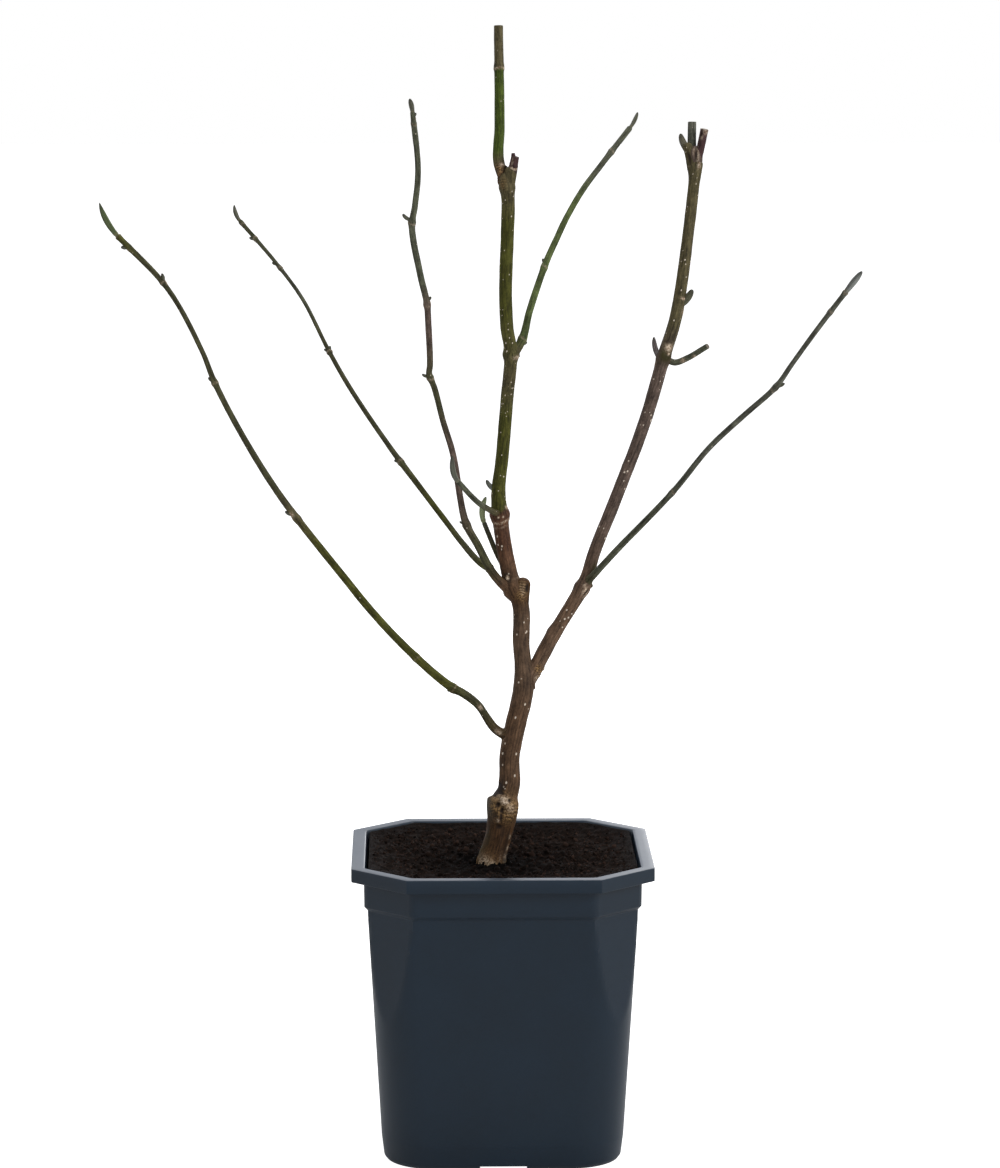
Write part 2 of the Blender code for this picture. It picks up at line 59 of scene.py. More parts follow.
# Pot, as in the construction
POT_HEIGHT = 200.0 * MM
RIM_HALF = 100.0 * MM
RIM_DROP = 9.0 * MM
RIM_THICKNESS = 1.7 * MM
RIM_INNER_HALF = 92.6 * MM
COLLAR_HALF = 91.5 * MM
COLLAR_FOOT = 173.5 * MM
BODY_TOP = 171.0 * MM
BODY_TOP_HALF = 89.3 * MM
BAND_TOP = 16.0 * MM
BAND_HALF = 80.6 * MM
BASE_HALF = 77.2 * MM
WALL = 1.5 * MM
FLOOR = 3.0 * MM
CORNER_RADIUS_BASE = 36.0 * MM
CORNER_RADIUS_TOP = 28.0 * MM
FACET_TOP = 104.8 * MM
FACET_SLOPE = 0.0394
POT_COLUMNS = 288
NOTCH_SIZE = (32.0 * MM, 31.0 * MM, 4.6 * MM)

# Soil
SOIL_TOP = POT_HEIGHT - 6.3 * MM
SOIL_GAP = 0.3 * MM
SOIL_RINGS = 90
SOIL_COLUMNS = 240
CRUMB_COUNT = 3600
FIBRE_COUNT = 170
FOOT = (-8.0 * MM, -18.0 * MM)

# Limb surfaces
ROUTE_STEPS = 24
CUT_DOME = 0.55
BARK_SKIN = 0.45
LIMB_SHIFT = np.array([0.28, 0.0, 0.15])
BUD_ROWS = 30
BUD_COLUMNS = 24
TIP_BUD_BEND = 1.0
SIDE_BUD_BEND = -0.6

# Camera, fitted to the corners of the pot's rim
IMAGE_WIDTH = 1000
FOCAL_PIXELS = 4538.0
SENSOR_WIDTH = 36.0
FLOOR_REACH = 12.0
CAMERA_PLACE = (-0.0593, -2.9828, 0.8378)
CAMERA_AIM = (0.01937, 0.98822, -0.15183)


class Bud(NamedTuple):
    """A bud in millimetres and degrees: its place along the limb and its bearing round
    it, its size, the angle between the bud and the limb's own direction, how pointed it
    is, its colour, and how silvery its down is."""

    at: float
    side: float
    length: float
    width: float
    lean: float = 38.0
    taper: float = 0.5
    bark: str = "moss"
    downy: float = 0.25


class Mark(NamedTuple):
    """A patch on the bark in millimetres and degrees: its distance along the limb and
    its bearing round it, its half-length, half-width and rise, its finish, and the
    spacing of the wrinkles across it."""

    at: float
    side: float
    length: float
    width: float
    rise: float = 0.0
    finish: str = "scar"
    strength: float = 1.0
    wrinkle: float = 0.0


class Spur(NamedTuple):
    """A short side shoot or cut stub: its centre line, its two end diameters, the colour
    of its bark, how pale its cut end is, and its marks. A healed stub is round."""

    route: tuple
    girths: tuple
    bark: str = "brown"
    cut: float = 1.0
    marks: tuple = ()
    healed: bool = False


class Limb(NamedTuple):
    """A stem, bough or twig in millimetres, with the look of its bark.

    swellings are (distance, extra diameter, reach). bark is (distance, colour) along
    the limb. lenticels are (from, to, number in a square millimetre, size). flaky is
    (distance, reach, amount) of corky bark. cuffs are (distance, climb): nodes whose
    edge climbs at the two sides. rings are pale scars that run round the limb.
    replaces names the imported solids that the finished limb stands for.
    """

    name: str
    route: tuple
    girths: tuple
    replaces: tuple
    columns: int
    slot: str
    bark: tuple
    spacing: float = 0.75
    swellings: tuple = ()
    buds: tuple = ()
    spurs: tuple = ()
    marks: tuple = ()
    lenticels: tuple = ()
    flaky: tuple = ()
    cuffs: tuple = ()
    rings: tuple = ()
    shoulders: tuple = ()
    parents: tuple = ()
    cut_tip: bool = False
    seed: int = 1


TRUNK = Limb(
    name="trunk",
    route=(
        (-9, -18, 186), (-6, -18, 199), (-1.5, -16, 216), (0.5, -14, 237), (4.5, -13, 248),
        (5, -11, 264), (8, -9, 281), (14.5, -6, 311), (13, -3, 340), (12.5, -1, 366),
        (6, 1, 383), (-2, 4, 437), (0.5, 3, 465), (3.5, 2, 502), (6, 0, 533),
        (3.5, -1, 550.5), (2.5, -2, 574), (4, -4, 637), (2, -4, 653),
    ),
    girths=((0, 20), (10, 18.6), (18, 16.8), (50, 16.0), (57, 13.8), (72, 13.3), (128, 13.6),
            (146, 10.8), (190, 10.9), (250, 9.6), (275, 8.2), (400, 8.2), (474, 8.6)),
    swellings=((195, 3.6, 8), (244, 3.6, 6), (353, 2.4, 6), (464, 2.2, 6)),
    buds=(Bud(at=260.5, side=180, length=11.4, width=3.3, lean=45, taper=0.42, bark="grey", downy=0.5),),
    spurs=(
        Spur(route=((12.5, -1, 363), (13.6, -1, 373), (14.6, -2, 384)), girths=(10.0, 9.4),
             bark="earth", healed=True,
             marks=(Mark(at=12.5, side=-100, length=6.0, width=3.6, rise=0.3, finish="cork",
                         wrinkle=1.8),
                    Mark(at=13, side=-98, length=4.5, width=2.2, strength=0.3),
                    Mark(at=15, side=-56, length=2.5, width=1.3, rise=-0.8, finish="dark"))),
        Spur(route=((8.2, -6.2, 656), (7.6, -6.3, 661.5), (7.4, -6.4, 665.8)), girths=(4.6, 1.9),
             bark="plum", cut=0.1),
        Spur(route=((3.4, -4, 636), (4.7, -4.6, 645), (6.4, -5, 657)), girths=(7.6, 7.8),
             bark="umber", healed=True),
        Spur(route=((3.6, -4, 640), (6.6, -5, 652), (8.8, -6, 663.6)), girths=(7.6, 4.7),
             bark="plum", cut=0.15,
             marks=(Mark(at=16.2, side=-95, length=0.9, width=3.4, rise=0.3, strength=0.75),
                    Mark(at=23.5, side=150, length=2.2, width=1.8, finish="dark"),
                    Mark(at=20.5, side=-120, length=2.6, width=0.7, strength=0.35))),
    ),
    # The dark marks that sink into the bark paint shade into those pits and grooves.
    marks=(
        Mark(at=52, side=5, length=11, width=9, rise=2.7, finish="plain"),
        Mark(at=40, side=0, length=8, width=7, rise=1.2, finish="plain"),
        Mark(at=57, side=180, length=4.5, width=8, rise=-1.6, finish="plain"),
        Mark(at=47.5, side=-82, length=7.5, width=9.0, finish="cork", strength=0.95),
        Mark(at=46.5, side=-152, length=6.5, width=6.5, finish="slate", strength=0.95),
        Mark(at=51.6, side=-84, length=2.6, width=3.0, rise=1.2),
        Mark(at=53, side=-96, length=1.4, width=1.6, rise=0.5),
        Mark(at=55.6, side=-128, length=0.9, width=4.6, rise=-0.7, finish="dark"),
        Mark(at=40.5, side=-92, length=3.2, width=0.9, rise=-0.9, finish="dark"),
        # painted shade: these two long dark streaks stand for shade on the trunk's shaded side
        Mark(at=25, side=-48, length=9.0, width=1.6, rise=-0.3, finish="dark", strength=0.5),
        Mark(at=29, side=-76, length=7.5, width=1.1, rise=-0.3, finish="dark", strength=0.45),
        Mark(at=19, side=-148, length=11.0, width=3.2, rise=0.2, finish="olive", strength=0.4),
        Mark(at=54, side=-118, length=1.6, width=2.4, rise=0.5, strength=0.5),
        Mark(at=47, side=-58, length=3.0, width=2.6, rise=0.7, strength=0.55),
        Mark(at=48.6, side=-109, length=2.3, width=1.7, rise=-1.8, finish="dark"),
        Mark(at=45.0, side=-90, length=2.6, width=1.5, rise=-1.6, finish="dark"),
        Mark(at=52.5, side=-62, length=1.4, width=1.2, rise=-1.1, finish="dark"),
        Mark(at=42, side=-118, length=2.6, width=1.8, rise=-0.6, finish="dark", strength=0.8),
        Mark(at=42, side=-66, length=5.2, width=5.0, rise=1.0, finish="cork", wrinkle=2.6),
        Mark(at=45, side=-34, length=4.6, width=3.8, rise=0.6, finish="cork", wrinkle=2.7),
        Mark(at=34, side=-98, length=1.8, width=2.4, rise=-0.7, finish="dark", strength=0.8),
        Mark(at=4, side=-130, length=7.5, width=10, rise=0.1, finish="cork"),
        Mark(at=9, side=-126, length=3.2, width=4.2, rise=0.4, strength=0.8),
        Mark(at=8.5, side=-94, length=2.6, width=2.6, rise=0.4, strength=0.65),
        Mark(at=15, side=-170, length=5.0, width=2.5, rise=0.3, finish="olive", strength=0.8),
        Mark(at=12, side=-30, length=5.0, width=2.5, rise=0.5, finish="slate", strength=0.6),
        Mark(at=236, side=180, length=5, width=2.4, finish="slate", strength=0.7),
        Mark(at=236, side=0, length=6, width=2.0, finish="slate", strength=0.6),
        Mark(at=38, side=-104, length=1.0, width=0.9, rise=0.4),
        Mark(at=13, side=-62, length=4.0, width=0.6, rise=0.2, strength=0.22),
        Mark(at=28, side=-36, length=1.4, width=0.8, rise=0.3, strength=0.7),
        Mark(at=21, side=-30, length=1.8, width=0.9, rise=0.3, strength=0.7),
        Mark(at=15, side=-38, length=1.2, width=0.8, rise=0.3, strength=0.7),
        Mark(at=203.4, side=-112, length=2.5, width=2.3, rise=-1.6, finish="plain"),
        Mark(at=203.4, side=-112, length=1.6, width=1.5, rise=2.3),
        Mark(at=189, side=-62, length=3.4, width=3.6, rise=0.4, finish="cork", strength=0.7,
             wrinkle=1.5),
        Mark(at=94, side=-158, length=5.0, width=1.6, rise=0.2, strength=0.55),
        Mark(at=140, side=-30, length=2.6, width=2.6, rise=0.4, finish="plain"),
        Mark(at=250.2, side=-28, length=1.1, width=1.0, rise=0.3),
        Mark(at=244.2, side=-99, length=0.6, width=0.6, rise=0.2),
        Mark(at=244.2, side=-73, length=0.6, width=0.6, rise=0.2),
        Mark(at=351.5, side=-40, length=1.2, width=3.0, rise=0.3, strength=0.7),
        Mark(at=467, side=-118, length=4.0, width=2.6, rise=0.6, finish="cork", strength=0.4,
             wrinkle=1.6),
        Mark(at=117.6, side=-70, length=0.8, width=0.55, rise=0.15, finish="lenticel"),
        Mark(at=107.6, side=-104, length=0.8, width=0.55, rise=0.15, finish="lenticel"),
        Mark(at=82.6, side=-137, length=0.8, width=0.6, rise=0.15, finish="lenticel"),
        Mark(at=83.6, side=-55, length=0.9, width=0.55, rise=0.15, finish="lenticel"),
        Mark(at=75.6, side=-132, length=0.7, width=0.55, rise=0.15, finish="lenticel"),
        Mark(at=68.6, side=-61, length=0.8, width=0.55, rise=0.15, finish="lenticel"),
        Mark(at=63.6, side=-106, length=0.9, width=0.6, rise=0.15, finish="lenticel"),
    ),
    lenticels=((16, 240, 0.009, 0.9), (255, 312, 0.007, 0.65), (312, 350, 0.040, 0.5),
               (350, 462, 0.013, 0.65)),
    flaky=((1, 9, 1.0),),
    cuffs=((249, 3.4),),
    rings=((240.4, 1.1), (237.2, 0.5), (201.0, 0.25)),
    shoulders=((51.5, 172, 2.6, 13),),
    replaces=("trunk",),
    columns=92,
    spacing=0.55,
    slot="brown_bark",
    bark=((0, "earth"), (34, "earth"), (48, "brown"), (110, "brown"), (135, "taupe"),
          (175, "taupe"), (187, "earth"), (200, "brown"), (225, "russet"), (247, "russet"),
          (249.5, "olive"), (310, "olive"),
          (335, "umber"), (380, "olive"), (440, "olive"), (460, "umber"), (474, "umber")),
    seed=3,
)

RIGHT_BOUGH = Limb(
    name="right_bough",
    route=(
        (12, -6, 302), (21, -3, 320), (32.5, 3, 341), (56, 13, 379), (62.5, 18, 398.5),
        (77, 29, 432.5), (97.5, 44, 484), (110.5, 54, 526.5), (118.5, 60, 552),
        (128, 72, 614), (133, 80, 657),
    ),
    girths=((0, 6.0), (12, 8.4), (26, 9.4), (36, 9.8), (60, 8.8), (80, 9.2), (110, 8.0),
            (200, 8.0), (255, 8.5), (300, 7.7), (340, 7.3), (372, 7.3), (389, 9.6)),
    swellings=((86, 2.0, 6), (251, 1.6, 6)),
    buds=(
        Bud(at=248, side=180, length=18.4, width=3.7, lean=33, bark="plum", downy=0.4),
        Bud(at=287.5, side=0, length=15.4, width=5.0, lean=29, taper=0.4, bark="moss", downy=0.08),
        Bud(at=388, side=180, length=20.5, width=5.0, lean=38, taper=0.42, bark="umber"),
    ),
    spurs=(
        Spur(route=((132, 80, 647), (131.8, 80, 656), (131.6, 80, 665.5)), girths=(8.5, 11.8),
             bark="violet", healed=True,
             marks=(Mark(at=12, side=-72, length=4.0, width=0.9, rise=0.2, strength=0.6),
                    Mark(at=13, side=-84, length=3.4, width=0.8, rise=-0.4, finish="dark"),
                    Mark(at=15, side=-100, length=2.6, width=0.8, rise=0.2, strength=0.5))),
        Spur(route=((131, 79, 650), (128.9, 79, 658.5), (125.8, 79, 667.5)), girths=(8.5, 5.6),
             bark="umber", healed=True,
             marks=(Mark(at=8, side=-110, length=4.0, width=1.0, rise=-0.4, finish="dark",
                         strength=0.8),)),
        Spur(route=((110.8, 54, 521.5), (107.8, 54, 526), (106.3, 54, 529.3)), girths=(5.5, 3.2),
             bark="umber", healed=True),
        Spur(route=((111, 55, 524), (117.5, 54, 521.5), (126, 50, 525), (139, 41, 534)),
             girths=(4.0, 3.3), bark="grey", cut=0.5,
             marks=(Mark(at=14, side=-90, length=1.6, width=1.6, rise=0.2, strength=0.7),
                    Mark(at=23, side=-60, length=1.2, width=1.2, rise=0.1, strength=0.6))),
        Spur(route=((132, 80, 652), (130, 82, 664), (130, 84, 681.5)), girths=(5.6, 5.2),
             bark="ash", cut=0.1),
        Spur(route=((132.5, 79, 652), (135.5, 78, 664), (138, 77, 677)), girths=(5.2, 4.9),
             bark="plum", cut=1.0,
             marks=(Mark(at=24.0, side=-60, length=1.8, width=2.6, rise=0.3, strength=0.5),
                    Mark(at=22, side=-125, length=2.2, width=0.8, rise=-0.3, finish="dark"),
                    Mark(at=20, side=-110, length=1.4, width=1.0, rise=0.2, strength=0.5))),
    ),
    marks=(
        Mark(at=85, side=-66, length=2.4, width=1.2, rise=0.3),
        Mark(at=82.5, side=-40, length=2.6, width=0.9, rise=0.2, strength=0.7),
        Mark(at=87.5, side=-86, length=1.6, width=0.8, rise=0.2, strength=0.6),
        Mark(at=84, side=-53, length=2.6, width=0.7, rise=-0.6, finish="dark"),
        Mark(at=90, side=-5, length=1.3, width=1.3, rise=1.3, finish="olive"),
        Mark(at=99, side=-55, length=6.0, width=2.2, finish="olive", strength=0.8),
        Mark(at=51, side=180, length=3.0, width=2.4, rise=0.5, finish="plain"),
        Mark(at=21.5, side=-25, length=3.2, width=2.4, rise=0.6, finish="cork", wrinkle=1.6),
        Mark(at=24, side=-78, length=2.4, width=1.6, rise=0.3, finish="cork", wrinkle=1.5),
        Mark(at=25.5, side=-6, length=1.2, width=1.0, rise=0.7, strength=0.8),
        Mark(at=18.5, side=-52, length=2.0, width=1.0, rise=0.3, strength=0.6),
        Mark(at=22.5, side=-10, length=1.0, width=0.9, rise=-0.9, finish="dark"),
        Mark(at=253, side=-80, length=5.0, width=5.0, finish="olive", strength=0.9),
        Mark(at=258.8, side=-76, length=2.6, width=2.3, rise=0.35, strength=1.0),
        Mark(at=262.5, side=-100, length=1.6, width=2.2, finish="dark", strength=0.7),
        Mark(at=254.6, side=-62, length=0.9, width=1.0, rise=0.2),
        Mark(at=383, side=180, length=4.5, width=4.5, rise=1.5, finish="plain"),
        Mark(at=293.3, side=-52, length=0.8, width=2.0, rise=0.35),
        Mark(at=384, side=-66, length=2.4, width=1.2, rise=0.2, strength=0.7),
    ),
    lenticels=((8, 245, 0.015, 0.75), (262, 384, 0.014, 0.65)),
    replaces=("right_bough", "right_upper_twigs"),
    columns=60,
    spacing=0.6,
    slot="brown_bark",
    bark=((0, "tawny"), (70, "tawny"), (140, "violet"), (245, "violet"), (276, "umber"),
          (340, "umber"), (389, "umber")),
    parents=("trunk",),
    seed=5,
)

RIGHT_LOWER_BOUGH = Limb(
    name="right_lower_bough",
    route=(
        (56, 13, 377), (63, 6, 386), (75.5, -3, 401.5), (112, -35, 446), (134, -54, 477),
        (154, -68, 498.5), (175, -82, 520), (184, -89, 534.5), (199, -100, 558),
        (217, -112, 584.5),
    ),
    girths=((0, 4.8), (16, 4.1), (60, 3.7), (130, 3.3), (205, 3.3), (225, 2.8), (292, 3.0)),
    swellings=((99, 0.6, 4), (209, 0.9, 4), (273, 0.6, 3), (290, 0.6, 3)),
    buds=(
        Bud(at=209, side=0, length=6.5, width=2.4, lean=24),
        Bud(at=TIP, side=0, length=17.9, width=4.2, lean=1, bark="stone", downy=1.0),
    ),
    rings=((101.5, 0.6), (206, 0.5), (274.5, 0.7), (290.5, 0.6)),
    lenticels=((20, 290, 0.006, 0.45),),
    replaces=("right_lower_bough", "right_lower_twigs"),
    columns=36,
    slot="green_bark",
    bark=((0, "umber"), (16, "grey"), (60, "grey"), (140, "ash"), (292, "ash")),
    parents=("right_bough",),
    seed=7,
)

LOWER_LEFT_BOUGH = Limb(
    name="lower_left_bough",
    route=(
        (6, -9, 277), (-4.5, -11, 283.5), (-16.5, -18, 301.5), (-26.5, -23, 310),
        (-32.5, -25, 313.5), (-44.5, -30, 323.5), (-69, -42, 349), (-87, -51, 370.5),
        (-102.5, -60, 391.5), (-145, -83, 451), (-170, -95, 494.5), (-185.5, -103, 527),
        (-192.5, -107, 546), (-213.5, -115, 586.5), (-245, -120, 621),
    ),
    girths=((0, 7.0), (12, 5.8), (28, 4.8), (60, 5.5), (110, 4.8), (215, 4.4), (290, 3.5),
            (330, 3.4), (350, 2.8), (385, 2.8), (430, 3.3), (448, 3.3)),
    swellings=((57, 0.9, 4), (92, 0.5, 4), (223, 0.9, 4), (331, 0.8, 4), (405, 0.7, 3),
               (436, 0.4, 3), (446, 0.6, 3)),
    buds=(
        Bud(at=57, side=180, length=4.2, width=2.2, lean=55),
        Bud(at=226.5, side=180, length=6.6, width=2.6, lean=30),
        Bud(at=331.5, side=180, length=5.0, width=2.2, lean=28),
        Bud(at=404.5, side=0, length=6.2, width=2.4, lean=30),
        Bud(at=436, side=180, length=4.8, width=2.6, lean=42),
        Bud(at=TIP, side=0, length=25.0, width=3.9, lean=15, taper=0.75, bark="fresh"),
    ),
    marks=(
        Mark(at=10.5, side=-93, length=2.2, width=1.3, rise=0.25, strength=0.8),
        Mark(at=33.5, side=-84, length=2.0, width=1.3, rise=0.25, strength=0.7),
        Mark(at=228.5, side=-120, length=1.6, width=1.2, rise=0.2, strength=0.8),
    ),
    rings=((57, 0.5), (92, 0.3), (331, 0.6), (405, 0.6), (446, 0.7)),
    lenticels=((20, 440, 0.005, 0.45),),
    replaces=("lower_left_bough", "lower_left_twigs"),
    columns=40,
    slot="green_bark",
    bark=((0, "earth"), (30, "moss"), (45, "moss"), (65, "olive"), (200, "olive"),
          (227, "umber"), (250, "moss"), (420, "moss"), (447, "olive")),
    parents=("trunk",),
    seed=11,
)

INNER_LEFT_BOUGH = Limb(
    name="inner_left_bough",
    route=(
        (9, 0, 371), (-5.5, -3, 386.5), (-16, -6, 406.5), (-24, -8, 422), (-32.5, -16, 469),
        (-39, -24, 491.5), (-44.5, -34, 514), (-48, -39, 524), (-47.5, -41, 530),
        (-48.5, -52, 557), (-49.5, -59, 572), (-54, -68, 592.5), (-59, -80, 623),
        (-57, -85, 637), (-55, -93, 660), (-58.5, -105, 698),
    ),
    girths=((0, 7.0), (16, 5.6), (40, 4.7), (58, 4.8), (74, 4.0), (145, 3.5), (215, 3.8),
            (272, 3.9), (296, 3.5), (345, 3.3), (360, 2.6)),
    swellings=((60, 0.8, 4), (169, 0.9, 4), (223, 0.9, 4), (283, 1.0, 4), (351, 0.4, 3)),
    buds=(
        Bud(at=61, side=180, length=4.6, width=1.8, lean=50),
        Bud(at=170, side=180, length=5.6, width=2.2, lean=50),
        Bud(at=226, side=0, length=4.1, width=2.2, lean=50),
        Bud(at=284.5, side=180, length=7.6, width=2.6, lean=58),
        Bud(at=355.5, side=0, length=3.4, width=1.6),
        Bud(at=TIP, side=180, length=9.4, width=3.3, lean=6),
    ),
    rings=((169, 0.6), (223, 0.5), (283, 0.6), (351, 0.5)),
    lenticels=((20, 350, 0.006, 0.45),),
    replaces=("inner_left_bough", "inner_left_twigs"),
    columns=36,
    slot="brown_bark",
    bark=((0, "brown"), (12, "brown"), (30, "moss"), (48, "moss"), (75, "violet"),
          (115, "violet"), (145, "moss"), (170, "moss"), (200, "violet"), (222, "violet"),
          (240, "grey"), (360, "grey")),
    parents=("trunk",),
    seed=13,
)

UPPER_LEFT_BOUGH = Limb(
    name="upper_left_bough",
    route=(
        (-7, -3, 389.5), (-15, 6, 393.5), (-26, 18, 404.5), (-38, 33, 418.5), (-54.5, 45, 439),
        (-73.5, 58, 463), (-100.5, 81, 500.5), (-116, 96, 526), (-133.5, 112, 559),
        (-151, 123, 582), (-177.5, 138, 611.5),
    ),
    girths=((0, 5.0), (14, 4.0), (40, 3.5), (80, 3.5), (102, 3.8), (125, 3.1), (195, 2.8),
            (212, 2.3), (280, 2.2), (317, 2.6)),
    swellings=((107, 0.8, 4), (202, 1.1, 3), (272, 0.8, 3), (300, 0.7, 3), (315, 0.5, 3)),
    buds=(
        Bud(at=107.5, side=180, length=4.2, width=2.2, lean=40),
        Bud(at=202.5, side=180, length=4.0, width=1.8, lean=35),
        Bud(at=202.5, side=0, length=4.0, width=1.8, lean=35),
        Bud(at=275, side=180, length=4.4, width=1.8, lean=26),
        Bud(at=299.5, side=180, length=4.6, width=2.2, lean=34),
        Bud(at=TIP, side=0, length=12.8, width=3.0, lean=20, taper=0.7),
    ),
    rings=((107, 0.5), (202, 0.6), (272, 0.6), (300, 0.6), (313, 0.5)),
    lenticels=((20, 310, 0.005, 0.4),),
    replaces=("upper_left_bough", "upper_left_twigs"),
    columns=32,
    slot="green_bark",
    bark=((0, "olive"), (25, "moss"), (60, "olive"), (110, "moss"), (215, "moss"),
          (250, "grey"), (317, "moss")),
    parents=("trunk", "inner_left_bough"),
    seed=17,
)

UPPER_RIGHT_TWIGS = Limb(
    name="upper_right_twigs",
    route=(
        (6, 0, 529), (14, 4, 543), (18.5, 12, 559.5), (30, 31, 590.5), (37, 40, 605),
        (44.5, 50, 619.5), (55.5, 61, 637), (68.8, 73, 653.5), (89.1, 92, 677.5),
    ),
    girths=((0, 5.6), (16, 5.2), (28, 4.4), (60, 4.1), (110, 3.7), (196, 3.4)),
    swellings=((16, 0.6, 4), (70, 0.7, 4), (171, 0.8, 5)),
    buds=(
        Bud(at=12, side=0, length=5.2, width=2.0, lean=42),
        Bud(at=73, side=180, length=4.2, width=2.0, lean=45),
        Bud(at=TIP, side=180, length=13.9, width=2.8, lean=10),
    ),
    rings=((16, 0.5), (70, 0.6), (171, 0.6)),
    lenticels=((12, 190, 0.008, 0.45),),
    replaces=("upper_right_twigs",),
    columns=36,
    slot="twigs",
    bark=((0, "umber"), (8, "umber"), (16, "lime"), (125, "lime"), (150, "grey"),
          (196, "grey")),
    parents=("trunk",),
    seed=19,
)

TOP_TWIG = Limb(
    name="top_twig",
    route=((2, -3, 646), (-2.1, 1, 661), (-1.3, 6, 682), (-1.8, 16, 748)),
    girths=((0, 6.2), (13, 7.2), (26, 6.5), (64, 6.0), (106, 5.5)),
    swellings=((77, 0.8, 4),),
    rings=((76, 1.2),),
    marks=(
        Mark(at=9, side=-110, length=3.0, width=2.4, rise=0.5, finish="cork", wrinkle=1.8),
        Mark(at=11.5, side=-70, length=1.2, width=1.6, rise=0.3, strength=0.7),
        Mark(at=6.5, side=-150, length=3.0, width=1.0, rise=-0.5, finish="dark"),
    ),
    lenticels=((16, 100, 0.008, 0.5),),
    replaces=("top_twig",),
    columns=44,
    slot="twigs",
    bark=((0, "brown"), (6, "brown"), (14, "umber"), (22, "fresh"), (74, "fresh"),
          (77, "umber"), (104, "umber")),
    parents=("trunk",),
    cut_tip=True,
    seed=23,
)

FRONT_SPUR = Limb(
    name="front_spur",
    route=((-1, 2, 425), (-15.3, -14, 435.6), (-29.9, -34, 453.2)),
    girths=((0, 3.6), (40, 3.2), (52, 3.1)),
    buds=(Bud(at=TIP, side=36, length=19.3, width=3.9, lean=32, bark="grey"),),
    replaces=("front_spur",),
    columns=28,
    slot="twigs",
    bark=((0, "brown"), (6, "umber"), (24, "grey"), (52, "grey")),
    lenticels=((6, 50, 0.01, 0.5),),
    parents=("trunk",),
    seed=29,
)

REAR_SPUR = Limb(
    name="rear_spur",
    route=((5, 1, 384), (-3, 8, 398.5), (-11.8, 14, 419.5)),
    girths=((0, 3.2), (40, 2.8)),
    # painted light: the pale bud colour is lightened to make up for the shade the trunk casts on this
    # bud
    buds=(Bud(at=TIP, side=3, length=17.8, width=4.1, lean=26, bark="pale", downy=0.4),),
    replaces=("rear_spur",),
    columns=28,
    slot="twigs",
    bark=((0, "brown"), (12, "umber"), (40, "grey")),
    lenticels=((6, 36, 0.01, 0.5),),
    parents=("trunk",),
    seed=31,
)

LIMBS = (
    TRUNK, RIGHT_BOUGH, RIGHT_LOWER_BOUGH, LOWER_LEFT_BOUGH, INNER_LEFT_BOUGH,
    UPPER_LEFT_BOUGH, UPPER_RIGHT_TWIGS, TOP_TWIG, FRONT_SPUR, REAR_SPUR,
)


class PotSettings(bpy.types.PropertyGroup):
    """Finish of the nursery pot."""

    colour: bpy.props.FloatVectorProperty(
        name="Plastic colour", description="Colour of the moulded plastic",
        subtype="COLOR", size=3, min=0.0, max=1.0, default=(0.0034, 0.0130, 0.0255))
    roughness: bpy.props.FloatProperty(
        name="Roughness", description="Roughness of the moulded plastic",
        subtype="FACTOR", min=0.0, max=1.0, default=0.36)
    edge_radius: bpy.props.FloatProperty(
        name="Edge radius", description="Rounding along the rim and the steps",
        subtype="DISTANCE", unit="LENGTH", default=0.5 * MM)


